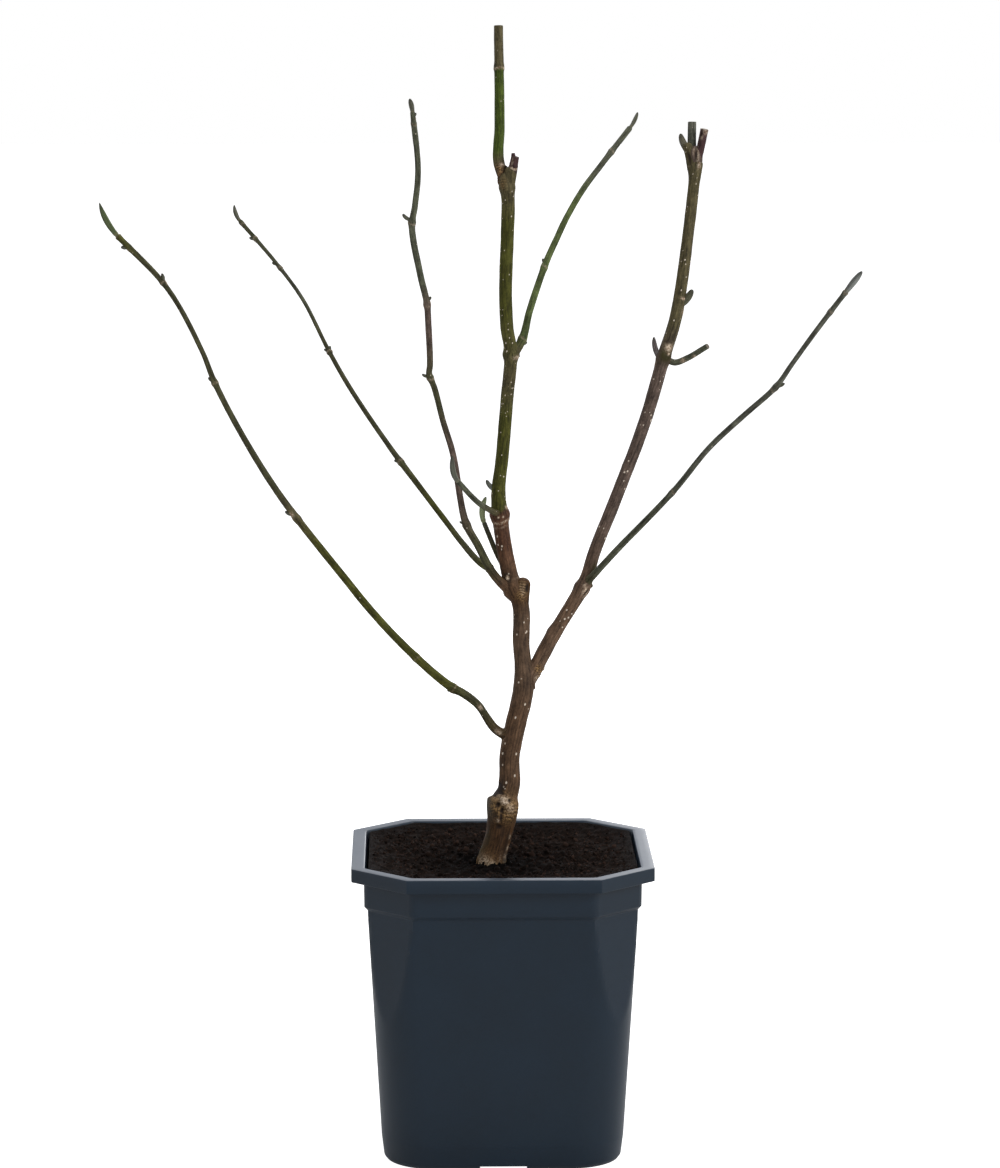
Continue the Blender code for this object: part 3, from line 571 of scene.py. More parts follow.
class BarkSettings(bpy.types.PropertyGroup):
    """Colours and relief of the bark."""

    brown: bpy.props.FloatVectorProperty(
        name="Brown bark", description="Colour of the older bark",
        subtype="COLOR", size=3, min=0.0, max=1.0, default=(0.097, 0.055, 0.031))
    earth: bpy.props.FloatVectorProperty(
        name="Earth bark", description="Colour of the dark bark at the foot and the knob",
        subtype="COLOR", size=3, min=0.0, max=1.0, default=(0.066, 0.033, 0.015))
    russet: bpy.props.FloatVectorProperty(
        name="Russet bark", description="Colour of the reddish bark under the ring node",
        subtype="COLOR", size=3, min=0.0, max=1.0, default=(0.098, 0.046, 0.026))
    taupe: bpy.props.FloatVectorProperty(
        name="Taupe bark", description="Colour of the greyer bark half way up the trunk",
        subtype="COLOR", size=3, min=0.0, max=1.0, default=(0.099, 0.062, 0.039))
    tawny: bpy.props.FloatVectorProperty(
        name="Tawny bark", description="Colour at the foot of the right bough",
        subtype="COLOR", size=3, min=0.0, max=1.0, default=(0.122, 0.075, 0.047))
    ash: bpy.props.FloatVectorProperty(
        name="Ash bark", description="Colour of the grey lower right bough",
        subtype="COLOR", size=3, min=0.0, max=1.0, default=(0.093, 0.095, 0.073))
    violet: bpy.props.FloatVectorProperty(
        name="Violet bark", description="Colour of the purplish boughs",
        subtype="COLOR", size=3, min=0.0, max=1.0, default=(0.104, 0.074, 0.059))
    umber: bpy.props.FloatVectorProperty(
        name="Umber bark", description="Colour between brown and olive",
        subtype="COLOR", size=3, min=0.0, max=1.0, default=(0.095, 0.079, 0.039))
    olive: bpy.props.FloatVectorProperty(
        name="Olive bark", description="Colour of the olive leader and boughs",
        subtype="COLOR", size=3, min=0.0, max=1.0, default=(0.066, 0.066, 0.013))
    fresh: bpy.props.FloatVectorProperty(
        name="Fresh bark", description="Colour of the greenest shoots",
        subtype="COLOR", size=3, min=0.0, max=1.0, default=(0.059, 0.085, 0.013))
    grey: bpy.props.FloatVectorProperty(
        name="Grey-green bark", description="Colour of the slim twigs",
        subtype="COLOR", size=3, min=0.0, max=1.0, default=(0.086, 0.090, 0.060))
    moss: bpy.props.FloatVectorProperty(
        name="Moss bark", description="Colour of the dull, darker twigs",
        subtype="COLOR", size=3, min=0.0, max=1.0, default=(0.061, 0.059, 0.029))
    lime: bpy.props.FloatVectorProperty(
        name="Lime bark", description="Colour of the pale green shoots",
        subtype="COLOR", size=3, min=0.0, max=1.0, default=(0.085, 0.109, 0.038))
    plum: bpy.props.FloatVectorProperty(
        name="Plum bark", description="Colour of the cut stubs",
        subtype="COLOR", size=3, min=0.0, max=1.0, default=(0.058, 0.030, 0.030))
    stone: bpy.props.FloatVectorProperty(
        name="Stone bark", description="Colour of the grey stub and the grey buds",
        subtype="COLOR", size=3, min=0.0, max=1.0, default=(0.072, 0.074, 0.062))
    # Partly painted light: this colour is lightened well past the bud's own pale green, so the bud still
    # looks brightly lit though the trunk shades it.
    pale: bpy.props.FloatVectorProperty(
        name="Pale bud", description="Colour of the pale green bud behind the trunk",
        subtype="COLOR", size=3, min=0.0, max=1.0, default=(0.42, 0.50, 0.24))
    cork: bpy.props.FloatVectorProperty(
        name="Cork", description="Colour of the flaky bark at the graft and the foot",
        subtype="COLOR", size=3, min=0.0, max=1.0, default=(0.36, 0.215, 0.09))
    lenticel_size: bpy.props.FloatProperty(
        name="Lenticel size", description="Half-length of a lenticel",
        subtype="DISTANCE", unit="LENGTH", default=0.75 * MM)


class SoilSettings(bpy.types.PropertyGroup):
    """Surface of the peat."""

    unevenness: bpy.props.FloatProperty(
        name="Unevenness", description="Height of the lumps in the surface",
        subtype="DISTANCE", unit="LENGTH", default=2.2 * MM)
    crumb_size: bpy.props.FloatProperty(
        name="Crumb size", description="Mean radius of a loose crumb",
        subtype="DISTANCE", unit="LENGTH", default=0.85 * MM)


class StageSettings(bpy.types.PropertyGroup):
    """Floor and light."""

    floor_tone: bpy.props.FloatProperty(
        name="Floor tone", description="Lightness of the plain floor",
        subtype="FACTOR", min=0.0, max=1.0, default=0.9)
    floor_glow: bpy.props.FloatProperty(
        name="Floor glow", description="How much brighter the camera sees the white paper",
        min=0.0, default=1.02)
    sky_light: bpy.props.FloatProperty(
        name="Sky light", description="Strength of the even light from all round",
        min=0.0, default=0.11)
    mirrored: bpy.props.FloatProperty(
        name="Mirrored light", description="How bright glossy surfaces see the surroundings",
        min=0.0, default=1.5)
    light_power: bpy.props.FloatProperty(
        name="Light power", description="Strength of the main soft light in watts",
        min=0.0, default=40.0)


# Centre lines and frames


def smooth_route(points):
    """A centripetal Catmull-Rom curve through the points.

    Each span is a blend of the lines through its four nearest points, with knots spaced
    by the square root of their distances, so the curve doesn't overshoot.
    """
    given = np.asarray(points, dtype=float)
    control = np.vstack([2 * given[0] - given[1], given, 2 * given[-1] - given[-2]])
    curve = []
    for p0, p1, p2, p3 in zip(control, control[1:], control[2:], control[3:]):
        t1 = np.linalg.norm(p1 - p0) ** 0.5
        t2 = t1 + np.linalg.norm(p2 - p1) ** 0.5
        t3 = t2 + np.linalg.norm(p3 - p2) ** 0.5
        t = np.linspace(t1, t2, ROUTE_STEPS, endpoint=False)[:, None]
        a1 = (t1 - t) / t1 * p0 + t / t1 * p1
        a2 = (t2 - t) / (t2 - t1) * p1 + (t - t1) / (t2 - t1) * p2
        a3 = (t3 - t) / (t3 - t2) * p2 + (t - t2) / (t3 - t2) * p3
        b1 = (t2 - t) / t2 * a1 + t / t2 * a2
        b2 = (t3 - t) / (t3 - t1) * a2 + (t - t1) / (t3 - t1) * a3
        curve.append((t2 - t) / (t2 - t1) * b1 + (t - t1) / (t2 - t1) * b2)
    curve.append(given[-1:])
    return np.vstack(curve)


def unit(vectors):
    """The vectors scaled to length one."""
    return vectors / np.linalg.norm(vectors, axis=-1, keepdims=True)


class CentreLine:
    """A limb's smooth centre line in millimetres, read by distance from its root."""

    def __init__(self, route):
        self.points = smooth_route(route) + LIMB_SHIFT
        steps = np.linalg.norm(np.diff(self.points, axis=0), axis=1)
        self.distances = np.concatenate([[0.0], np.cumsum(steps)])
        self.length = self.distances[-1]

    def at(self, distance):
        """Centre points at the given distances."""
        return np.stack(
            [np.interp(distance, self.distances, self.points[:, axis]) for axis in range(3)],
            axis=-1,
        )

    def axes(self, distance):
        """Along, right-hand and back directions at the given distances."""
        reach = 2.5
        ahead = self.at(np.minimum(distance + reach, self.length))
        behind = self.at(np.maximum(distance - reach, 0.0))
        along = unit(ahead - behind)
        right = unit(np.cross(np.array([0.0, 1.0, 0.0]), along))
        return along, right, np.cross(along, right)

    def pointing(self, distance, side, lean):
        """Direction that leans away from the limb towards a side of it."""
        along, right, back = self.axes(np.float64(distance))
        bearing, angle = math.radians(side), math.radians(lean)
        outward = math.cos(bearing) * right + math.sin(bearing) * back
        return math.cos(angle) * along + math.sin(angle) * outward


LINES = {limb.name: CentreLine(limb.route) for limb in LIMBS}


def diameter(limb, distance):
    """Thickness along a limb: straight runs between its girths, with a bell-shaped
    swelling at each node."""
    places, widths = zip(*limb.girths)
    width = np.interp(distance, places, widths)
    for place, extra, reach in limb.swellings:
        width = width + extra * np.exp(-(((distance - place) / (0.6 * reach)) ** 2))
    return width


# Mesh helpers


def grid_faces(rows, columns):
    """Quads of a grid whose columns close round, as an array of vertex numbers."""
    row, column = np.meshgrid(np.arange(rows - 1), np.arange(columns), indexing="ij")
    beside = (column + 1) % columns
    return np.stack(
        [row * columns + column, row * columns + beside,
         (row + 1) * columns + beside, (row + 1) * columns + column],
        axis=-1,
    ).reshape(-1, 4)


def closed_grid(points):
    """Vertices and faces of a round grid whose first and last rows end in a pole."""
    rows, columns = points.shape[:2]
    vertices = np.vstack([points.reshape(-1, 3), points[0].mean(0), points[-1].mean(0)])
    first, last = rows * columns, rows * columns + 1
    column = np.arange(columns)
    beside = (column + 1) % columns
    top = (rows - 1) * columns
    start_fan = np.stack([np.full(columns, first), beside, column], axis=-1)
    end_fan = np.stack([np.full(columns, last), top + column, top + beside], axis=-1)
    return vertices, grid_faces(rows, columns), np.vstack([start_fan, end_fan])


def mesh_from(name, vertices, quads, triangles, values=None):
    """Put arrays of vertices, faces and point values into a mesh."""
    mesh = bpy.data.meshes.new(name)
    mesh.vertices.add(len(vertices))
    mesh.vertices.foreach_set("co", vertices.astype(np.float32).ravel())
    corners = np.concatenate([quads.ravel(), triangles.ravel()]).astype(np.int32)
    totals = np.concatenate([np.full(len(quads), 4), np.full(len(triangles), 3)])
    starts = np.concatenate([[0], np.cumsum(totals)[:-1]])
    mesh.loops.add(len(corners))
    mesh.loops.foreach_set("vertex_index", corners)
    mesh.polygons.add(len(totals))
    mesh.polygons.foreach_set("loop_start", starts.astype(np.int32))
    mesh.polygons.foreach_set("loop_total", totals.astype(np.int32))
    for key, value in (values or {}).items():
        wide = value.ndim > 1
        layer = mesh.attributes.new(key, "FLOAT_VECTOR" if wide else "FLOAT", "POINT")
        layer.data.foreach_set("vector" if wide else "value", value.astype(np.float32).ravel())
    mesh.update(calc_edges=True)
    mesh.validate()
    mesh.shade_smooth()
    return mesh


def joined(parts):
    """Join (vertices, quads, triangles, values) parts into one set of arrays."""
    vertices, quads, triangles, values = [], [], [], {}
    offset = 0
    for points, fours, threes, layers in parts:
        vertices.append(points)
        quads.append(fours + offset)
        triangles.append(threes + offset)
        for key, value in layers.items():
            values.setdefault(key, []).append(value)
        offset += len(points)
    stacked = {key: np.concatenate(value) for key, value in values.items()}
    return np.vstack(vertices), np.vstack(quads), np.vstack(triangles), stacked


def place(name, mesh, material, slot, *nodes):
    """Put a finished mesh in the scene, riding on the plant's one body."""
    piece = bpy.data.objects.new(name, mesh)
    bpy.context.scene.collection.objects.link(piece)
    mesh.materials.append(material)
    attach(piece, "root")
    if nodes:
        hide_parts(*nodes)
    return piece


# Limb surfaces


def ripple(rows, angles, seed, waves=9):
    """Seamless unevenness round and along a limb: cosines whose phase drifts."""
    random = np.random.default_rng(seed)
    total = np.zeros((len(rows), len(angles)))
    for _ in range(waves):
        turns = random.integers(1, 9)
        drift = random.uniform(-0.25, 0.25)
        wave = random.uniform(0.05, 0.4)
        phase = random.uniform(0, 2 * math.pi, 2)
        bend = np.sin(wave * rows + phase[1])[:, None]
        total += np.cos(turns * angles[None, :] + drift * rows[:, None] + phase[0] + 1.6 * bend)
    return total / math.sqrt(waves)


def patch(rows, angles, radius, mark):
    """A bell-shaped spot on a limb, and the distances from its middle.

    The value falls off with the square of the distance from the middle, measured in
    half-lengths along the limb and half-widths round it.
    """
    turn = (angles - math.radians(mark.side) + math.pi) % (2 * math.pi) - math.pi
    across = turn[None, :] * radius[:, None]
    along = rows[:, None] - mark.at
    return np.exp(-((along / mark.length) ** 2 + (across / mark.width) ** 2)), along, across


def put_marks(rows, angles, radius, marks, finishes):
    """Lay marks on a limb: their finishes go into the point values, and their rises and
    wrinkles, curved ridges a few tenths of a millimetre high, add up to the relief. The
    wrinkles' grooves get painted shade through the dark point value."""
    relief = np.zeros((len(rows), len(angles)))
    for mark in marks:
        near = np.abs(rows - mark.at) < 2.8 * mark.length
        if not near.any():
            continue
        bell, along, across = patch(rows[near], angles, radius[near], mark)
        relief[near] += mark.rise * bell
        shade = bell
        if mark.wrinkle:
            curve = (along + 0.09 * across**2) / mark.wrinkle
            ridges = np.cos(2 * math.pi * curve)
            relief[near] += 0.36 * ridges * bell
            # painted shade in the wrinkles' grooves: the finish thins there and the dark value rises
            shade = bell * (0.66 + 0.34 * ridges)
            groove = 0.8 * mark.strength * bell * np.clip(-ridges, 0.0, 1.0)
            finishes["dark"][near] = np.maximum(finishes["dark"][near], groove)
        if mark.finish != "plain":
            layer = finishes[mark.finish]
            layer[near] = np.maximum(layer[near], mark.strength * np.minimum(1.35 * shade, 1.0))
    return relief


def lenticel_marks(limb, size):
    """Scatter lenticels over a limb by its seed, as many as each stretch has."""
    random = np.random.default_rng(limb.seed)
    marks = []
    for start, end, density, scale in limb.lenticels:
        width = np.mean([width for _, width in limb.girths])
        for _ in range(int((end - start) * math.pi * width * density)):
            length = size * scale * random.uniform(0.6, 1.15)
            at, side = random.uniform(start, end), random.uniform(-180, 180)
            if any(abs(at - mark.at) < 2.2 for mark in limb.marks):
                continue
            marks.append(Mark(at, side, length, length * random.uniform(0.6, 1.0),
                              0.17 * scale, "lenticel"))
    return marks


def leaf_scars(limb):
    """The scar that a fallen leaf leaves on the rootward side of each side bud."""
    return [
        Mark(bud.at - 0.6 * bud.width, bud.side, 0.45 * bud.width, 0.5 * bud.width, 0.2, "scar", 0.75)
        for bud in limb.buds if bud.at != TIP
    ]


def cuff_shift(limb, rows, angles):
    """How far the limb's profile slides along it, so that a node's edge climbs at the
    two sides and dips in front: the climb times the cosine of the bearing."""
    shift = np.zeros((len(rows), len(angles)))
    for at, climb in limb.cuffs:
        near = np.exp(-(((rows - at) / 9.0) ** 2))[:, None]
        shift += climb * near * (np.abs(np.cos(angles)) - 0.45)[None, :]
    return shift


def shoulder(rows, angles, step):
    """A shoulder on one side: it rises in a millimetre or two at its upper edge and
    fades towards the root by an exponential."""
    at, side, rise, fade = step
    bearing = angles - math.radians(side)
    below = (at + 0.8 * np.sin(3 * bearing))[None, :] - rows[:, None]
    rim = np.clip(below / 2.2 + 0.5, 0.0, 1.0)
    rim = rim * rim * (3 - 2 * rim)
    facing = (0.5 + 0.5 * np.cos(bearing))[None, :] ** 0.9
    return rise * rim * facing * np.exp(-np.maximum(below, 0.0) / fade)


def bark_colour(limb, place, settings):
    """The limb's named colours, blended along its length."""
    distances = [at for at, _ in limb.bark]
    colours = np.array([tuple(getattr(settings, name)) for _, name in limb.bark])
    return np.stack([np.interp(place, distances, colours[:, c]) for c in range(3)], axis=-1)


def fillet(points, outward, parents):
    """Flare a limb's foot where it leaves its parents.

    A point a small distance from the parent's surface moves outward by what a quarter
    circle adds there, and a point inside the parent sinks back again.
    """
    for name, reach in parents:
        parent = next(limb for limb in LIMBS if limb.name == name)
        line = LINES[name]
        gaps = np.linalg.norm(points[:, None, :] - line.points[None, :, :], axis=2)
        nearest = gaps.argmin(axis=1)
        skin = diameter(parent, line.distances[nearest]) / 2
        height = gaps[np.arange(len(points)), nearest] - skin
        outside = np.clip(height, 0.0, reach)
        flare = reach - np.sqrt(np.maximum(reach**2 - (reach - outside) ** 2, 0.0))
        inside = np.clip(1.0 + height / reach, 0.0, 1.0)
        push = np.where(height < 0.0, reach * inside, flare)
        points = points + outward * push[:, None]
    return points


def limb_arrays(limb, settings):
    """A limb's surface on a grid of distance and bearing.

    The radius is half its thickness, plus an unevenness round it, its shoulders and
    marks, a fine ring at each node, and rough flakes. A limb that isn't cut ends in a
    half-ellipse.
    """
    line = LINES[limb.name]
    end = line.length - (CUT_DOME if limb.cut_tip else 0.0)
    rows = np.linspace(0.0, end, int(end / limb.spacing) + 1)
    angles = np.linspace(0, 2 * math.pi, limb.columns, endpoint=False)
    place = rows[:, None] - cuff_shift(limb, rows, angles)
    radius = (diameter(limb, place) + BARK_SKIN) / 2
    mean = radius.mean(axis=1)
    uneven = ripple(rows, angles, limb.seed)
    rough = ripple(rows * 3.1, angles * 3, limb.seed + 50, 14)
    zero = np.zeros_like(uneven)
    # dark is painted shade in sunken marks, wrinkle grooves and shaded streaks, and the own dark of old
    # cut ends
    names = ("scar", "cork", "dark", "olive", "slate", "lenticel")
    finishes = {name: zero.copy() for name in names}
    marks = (*limb.marks, *leaf_scars(limb), *lenticel_marks(limb, settings.lenticel_size / MM))
    relief = put_marks(rows, angles, mean, marks, finishes)
    for at, strength in limb.rings:
        wave = 0.5 * np.sin(angles * 2 + limb.seed)[None, :]
        ring = np.exp(-(((place - at - wave) / 0.7) ** 2))
        relief += 0.22 * strength * ring
        worn = np.clip(0.75 + 0.35 * uneven, 0.0, 1.0)
        finishes["scar"] = np.maximum(finishes["scar"], 0.8 * strength * ring * worn)
    for step in limb.shoulders:
        relief += shoulder(rows, angles, step)
    for middle, reach, amount in limb.flaky:
        flakes = amount * np.exp(-(((rows - middle) / reach) ** 2))[:, None]
        relief += 0.55 * flakes * rough
        finishes["cork"] = np.maximum(finishes["cork"], flakes * np.clip(0.6 + 0.6 * rough, 0, 1))
    relief += 0.014 * uneven * radius
    dome = max(mean[-1], 1.0)
    shut = np.clip((rows - end + dome) / dome, 0.0, 0.995)
    closing = np.ones_like(rows) if limb.cut_tip else np.sqrt(1.0 - shut**2)
    surface = (radius + relief) * closing[:, None]
    along, right, back = line.axes(rows)
    outward = (
        np.cos(angles)[None, :, None] * right[:, None, :]
        + np.sin(angles)[None, :, None] * back[:, None, :]
    )
    points = line.at(rows)[:, None, :] + surface[..., None] * outward
    if limb.parents:
        near = rows < 32.0
        shape = points[near].shape
        reach = [(name, min(2.2, 0.22 * diameter(limb, 8.0))) for name in limb.parents]
        flared = fillet(points[near].reshape(-1, 3), outward[near].reshape(-1, 3), reach)
        points[near] = flared.reshape(shape)
    grain = np.stack(
        [mean[:, None] * np.cos(angles), mean[:, None] * np.sin(angles),
         0.1 * rows[:, None] + zero + limb.seed], axis=-1)
    # painted shade: the colour darkens in proportion to how far the relief dips below the bark
    layers = {
        **finishes, "hue": bark_colour(limb, place, settings), "grain": grain,
        "hollow": np.clip(-relief / 0.5, 0.0, 1.0), "cut": zero,
    }
    if limb.cut_tip:
        points, layers = cap_cut(points, layers, along[-1])
    vertices, quads, triangles = closed_grid(points * MM)
    values = {key: with_poles(value) for key, value in layers.items()}
    return vertices, quads, triangles, values


def with_poles(value):
    """Point values of a grid, with the mean of each end row for its pole."""
    flat = value.reshape(-1, *value.shape[2:])
    return np.concatenate([flat, value[:1].mean(axis=1), value[-1:].mean(axis=1)])


def cap_cut(points, layers, along):
    """Close a cut end with a slightly domed face of wood, darker at the pith."""
    centre = points[-1].mean(0)
    rows = []
    for share, rise in ((0.985, 0.14), (0.93, 0.26), (0.7, 0.32), (0.35, 0.3), (0.12, 0.15)):
        rows.append(centre + share * (points[-1] - centre) + rise * along)
    points = np.concatenate([points, np.array(rows)])
    capped = {}
    for key, value in layers.items():
        repeat = np.repeat(value[-1:], len(rows), axis=0)
        if key == "cut":
            repeat = np.array([0.2, 0.8, 1.0, 1.0, 0.55])[:, None] + np.zeros_like(repeat)
        elif key not in ("hue", "grain"):
            repeat = repeat * 0.3
        capped[key] = np.concatenate([value, repeat])
    return points, capped


def spur_arrays(limb, spur, settings):
    """A side shoot or stub, swept as its limb is, with a pale or dark cut end."""
    line = CentreLine(spur.route)
    small = limb._replace(
        name=limb.name + "_spur",
        route=spur.route,
        girths=((0, spur.girths[0]), (line.length, spur.girths[1])),
        bark=((0, spur.bark), (line.length, spur.bark)),
        lenticels=((4, line.length - 1, 0.012, 0.5),),
        swellings=(), marks=spur.marks, buds=(), flaky=(), cuffs=(), rings=(), shoulders=(),
        parents=(), columns=40, spacing=0.4, cut_tip=not spur.healed,
        seed=limb.seed + int(line.length),
    )
    LINES[small.name] = line
    vertices, quads, triangles, values = limb_arrays(small, settings)
    values["dark"] = np.maximum(values["dark"], (1.0 - spur.cut) * values["cut"])
    return vertices, quads, triangles, values


def bud_arrays(limb, bud, settings):
    """A bud on a grid of length and bearing.

    Its centre line bends from one heading to another. Its radius grows from the foot by
    a quarter sine and closes by a half-ellipse, and two overlapping scales meet along a
    shallow groove.
    """
    line = LINES[limb.name]
    root = line.length - 0.45 * diameter(limb, line.length)
    at = root if bud.at == TIP else min(bud.at, line.length)
    foot = line.at(at)
    heading = line.pointing(at, bud.side, bud.lean)
    along = line.axes(np.float64(at))[0]
    bend = TIP_BUD_BEND if bud.at == TIP else SIDE_BUD_BEND
    bow = bend * (along - heading)
    share = 1.0 - (1.0 - np.linspace(0.0, 1.0, BUD_ROWS)) ** 1.5
    centre = foot + bud.length * (share[:, None] * heading + (share * (1 - share))[:, None] * bow)
    tangent = unit(np.gradient(centre, axis=0))
    right = unit(np.cross(np.array([0.3, 1.0, 0.1]), tangent))
    back = np.cross(tangent, right)
    angles = np.linspace(0, 2 * math.pi, BUD_COLUMNS, endpoint=False)
    grown = 0.66 + 0.34 * np.sin(0.5 * math.pi * np.clip(share / 0.5, 0.0, 1.0))
    closing = (1.0 - np.clip((share - 0.5) / 0.5, 0.0, 0.999) ** 2) ** bud.taper
    radius = 0.5 * bud.width * grown * closing
    groove = 1.0 - 0.10 * np.exp(-((np.sin((angles - 0.9) / 2) / 0.10) ** 2))
    ridges = 1.0 + 0.025 * np.cos(7 * angles)
    collar = 1.0 + 0.14 * np.exp(-(((share - 0.12) / 0.035) ** 2))
    spread = radius[:, None] * (groove * ridges)[None, :] * collar[:, None]
    outward = (
        np.cos(angles)[None, :, None] * right[:, None, :]
        + np.sin(angles)[None, :, None] * back[:, None, :]
    )
    points = centre[:, None, :] + spread[..., None] * outward
    vertices, quads, triangles = closed_grid(points * MM)
    level = np.zeros((BUD_ROWS, BUD_COLUMNS))
    grain = np.stack(
        [level + 0.5 * bud.width * np.cos(angles), level + 0.5 * bud.width * np.sin(angles),
         level + 0.1 * bud.length * share[:, None] + bud.at % 97], axis=-1)
    hue = level[..., None] + np.array(tuple(getattr(settings, bud.bark)))
    layers = {
        "share": level + share[:, None], "downy": level + bud.downy, "hue": hue,
        "collar": level + np.exp(-(((share - 0.10) / 0.05) ** 2))[:, None], "grain": grain,
    }
    return vertices, quads, triangles, {key: with_poles(value) for key, value in layers.items()}


# Pot and soil surfaces


def body_half(height):
    """Half-width of the pot's outer wall below the collar."""
    share = (np.minimum(height, BODY_TOP) - BAND_TOP) / (BODY_TOP - BAND_TOP)
    return BAND_HALF + share * (BODY_TOP_HALF - BAND_HALF)


def plan_rings(heights, halves, columns):
    """Rings of the pot's plan: a square with round corners, clipped by a flat facet.

    In polar form the reach is the smallest of the side's, the corner arc's and the
    facet's. The facet is almost upright while the corner tapers, so it fades out.
    """
    height = np.asarray(heights, dtype=float)[:, None]
    half = np.asarray(halves, dtype=float)[:, None]
    offset = half - body_half(height)
    level = np.minimum(height / BODY_TOP, 1.0)
    radius = CORNER_RADIUS_BASE + level * (CORNER_RADIUS_TOP - CORNER_RADIUS_BASE) + offset
    facet = FACET_TOP + FACET_SLOPE * np.maximum(BODY_TOP - height, 0.0) + offset
    centre = half - radius
    turn = np.linspace(0, 2 * math.pi, columns, endpoint=False)[None, :]
    folded = np.abs((turn + math.pi / 4) % (math.pi / 2) - math.pi / 4)
    cosine, sine = np.cos(folded), np.sin(folded)
    side = half / cosine
    along = centre * (cosine + sine)
    arc = along + np.sqrt(np.maximum(along**2 - 2 * centre**2 + radius**2, 0.0))
    reach = np.where(sine * half <= cosine * centre, side, arc)
    reach = np.minimum(reach, facet / np.cos(folded - math.pi / 4))
    across = np.stack([reach * np.cos(turn), reach * np.sin(turn)], axis=-1)
    upright = np.broadcast_to(height[..., None], (*reach.shape, 1))
    return np.concatenate([across, upright], axis=-1)


def rounded(profile, radius):
    """Replace each corner of a profile by an arc of four points."""
    points = np.asarray(profile, dtype=float)
    result = [points[0]]
    for before, here, after in zip(points, points[1:], points[2:]):
        inward, onward = before - here, after - here
        room = min(radius, 0.45 * np.linalg.norm(inward), 0.45 * np.linalg.norm(onward))
        start = here + room * inward / np.linalg.norm(inward)
        finish = here + room * onward / np.linalg.norm(onward)
        for share in (0.0, 0.33, 0.67, 1.0):
            result.append(
                (1 - share) ** 2 * start + 2 * share * (1 - share) * here + share**2 * finish
            )
    result.append(points[-1])
    return np.array(result)


def filled_in(profile, spacing):
    """Add points to a profile so that no step is longer than the spacing."""
    result = [profile[:1]]
    for start, finish in zip(profile, profile[1:]):
        steps = max(int(np.linalg.norm(finish - start) / spacing), 1)
        share = np.linspace(0, 1, steps + 1)[1:, None]
        result.append(start + share * (finish - start))
    return np.vstack(result)


def pot_profile(edge_radius):
    """Height and half-width down the outside, over the rim and down the inside."""
    skirt_inner = RIM_HALF - RIM_THICKNESS
    flange_under = POT_HEIGHT - RIM_THICKNESS
    corners = (
        (0.0, BASE_HALF - 8.0 * MM),
        (0.0, BASE_HALF),
        (2.5 * MM, BASE_HALF + 1.8 * MM),
        (BAND_TOP, BAND_HALF),
        (BODY_TOP, BODY_TOP_HALF),
        (COLLAR_FOOT, COLLAR_HALF),
        (flange_under, COLLAR_HALF + 0.3 * MM),
        (flange_under, skirt_inner),
        (POT_HEIGHT - RIM_DROP, skirt_inner),
        (POT_HEIGHT - RIM_DROP, RIM_HALF),
        (POT_HEIGHT, RIM_HALF),
        (POT_HEIGHT, RIM_INNER_HALF),
        (POT_HEIGHT - 0.25 * MM, COLLAR_HALF - 0.3 * MM),
        (POT_HEIGHT - 5.0 * MM, COLLAR_HALF - WALL),
        (COLLAR_FOOT + 1.0 * MM, COLLAR_HALF - WALL),
        (BODY_TOP, BODY_TOP_HALF - WALL),
        (BAND_TOP, BAND_HALF - WALL),
        (2 * FLOOR, BASE_HALF + 1.0 * MM),
        (FLOOR, BASE_HALF - WALL),
        (FLOOR, BASE_HALF - 8.0 * MM),
    )
    return filled_in(rounded(corners, edge_radius), 3.0 * MM)


def pot_mesh(settings):
    """The pot's surface: its profile carried round the plan. The four drain notches are cut
    afterwards, by cut_notches.
    """
    profile = pot_profile(settings.edge_radius)
    points = plan_rings(profile[:, 0], profile[:, 1], POT_COLUMNS)
    vertices, quads, triangles = closed_grid(points)
    return mesh_from("pot_shell", vertices, quads, triangles)


def cut_notches(piece):
    """Cut a box-shaped drain notch through the foot of each side and apply it."""
    cutters = []
    for quarter in range(4):
        turn = quarter * math.pi / 2
        bpy.ops.mesh.primitive_cube_add(size=1.0)
        box = bpy.context.object
        box.scale = NOTCH_SIZE
        box.rotation_euler = (0, 0, turn)
        box.location = (BAND_HALF * math.cos(turn), BAND_HALF * math.sin(turn), 0)
        step = piece.modifiers.new("drain notch", "BOOLEAN")
        step.operation = "DIFFERENCE"
        step.object = box
        cutters.append(box)
    graph = bpy.context.evaluated_depsgraph_get()
    mesh = bpy.data.meshes.new_from_object(piece.evaluated_get(graph))
    piece.modifiers.clear()
    piece.data = mesh
    for box in cutters:
        bpy.data.objects.remove(box, do_unlink=True)
    mesh.shade_smooth()
    mesh.set_sharp_from_angle(angle=math.radians(35))


def lumps(x, y, seed, scale):
    """Smooth unevenness over the ground: crossed sines of many lengths and headings."""
    random = np.random.default_rng(seed)
    total = np.zeros_like(x)
    for _ in range(26):
        heading = random.uniform(0, 2 * math.pi)
        length = scale * random.uniform(0.35, 2.2)
        phase = random.uniform(0, 2 * math.pi)
        run = (x * math.cos(heading) + y * math.sin(heading)) / length
        total += np.sin(2 * math.pi * run + phase) * (length / scale) ** 0.8
    return total / 5.0


def wall_share(x, y):
    """How far out towards the pot's wall a place lies: 0 in the middle, 1 at the wall."""
    rim = plan_rings([SOIL_TOP], [COLLAR_HALF - WALL], 720)[0]
    turns = np.linspace(0, 2 * math.pi, 721)
    reach = np.hypot(rim[:, 0], rim[:, 1])
    return np.hypot(x, y) / np.interp(
        np.arctan2(y, x) % (2 * math.pi), turns, np.append(reach, reach[0]))


def foot_distance(x, y):
    """Distance from the trunk's foot."""
    return np.hypot(x - FOOT[0], y - FOOT[1])


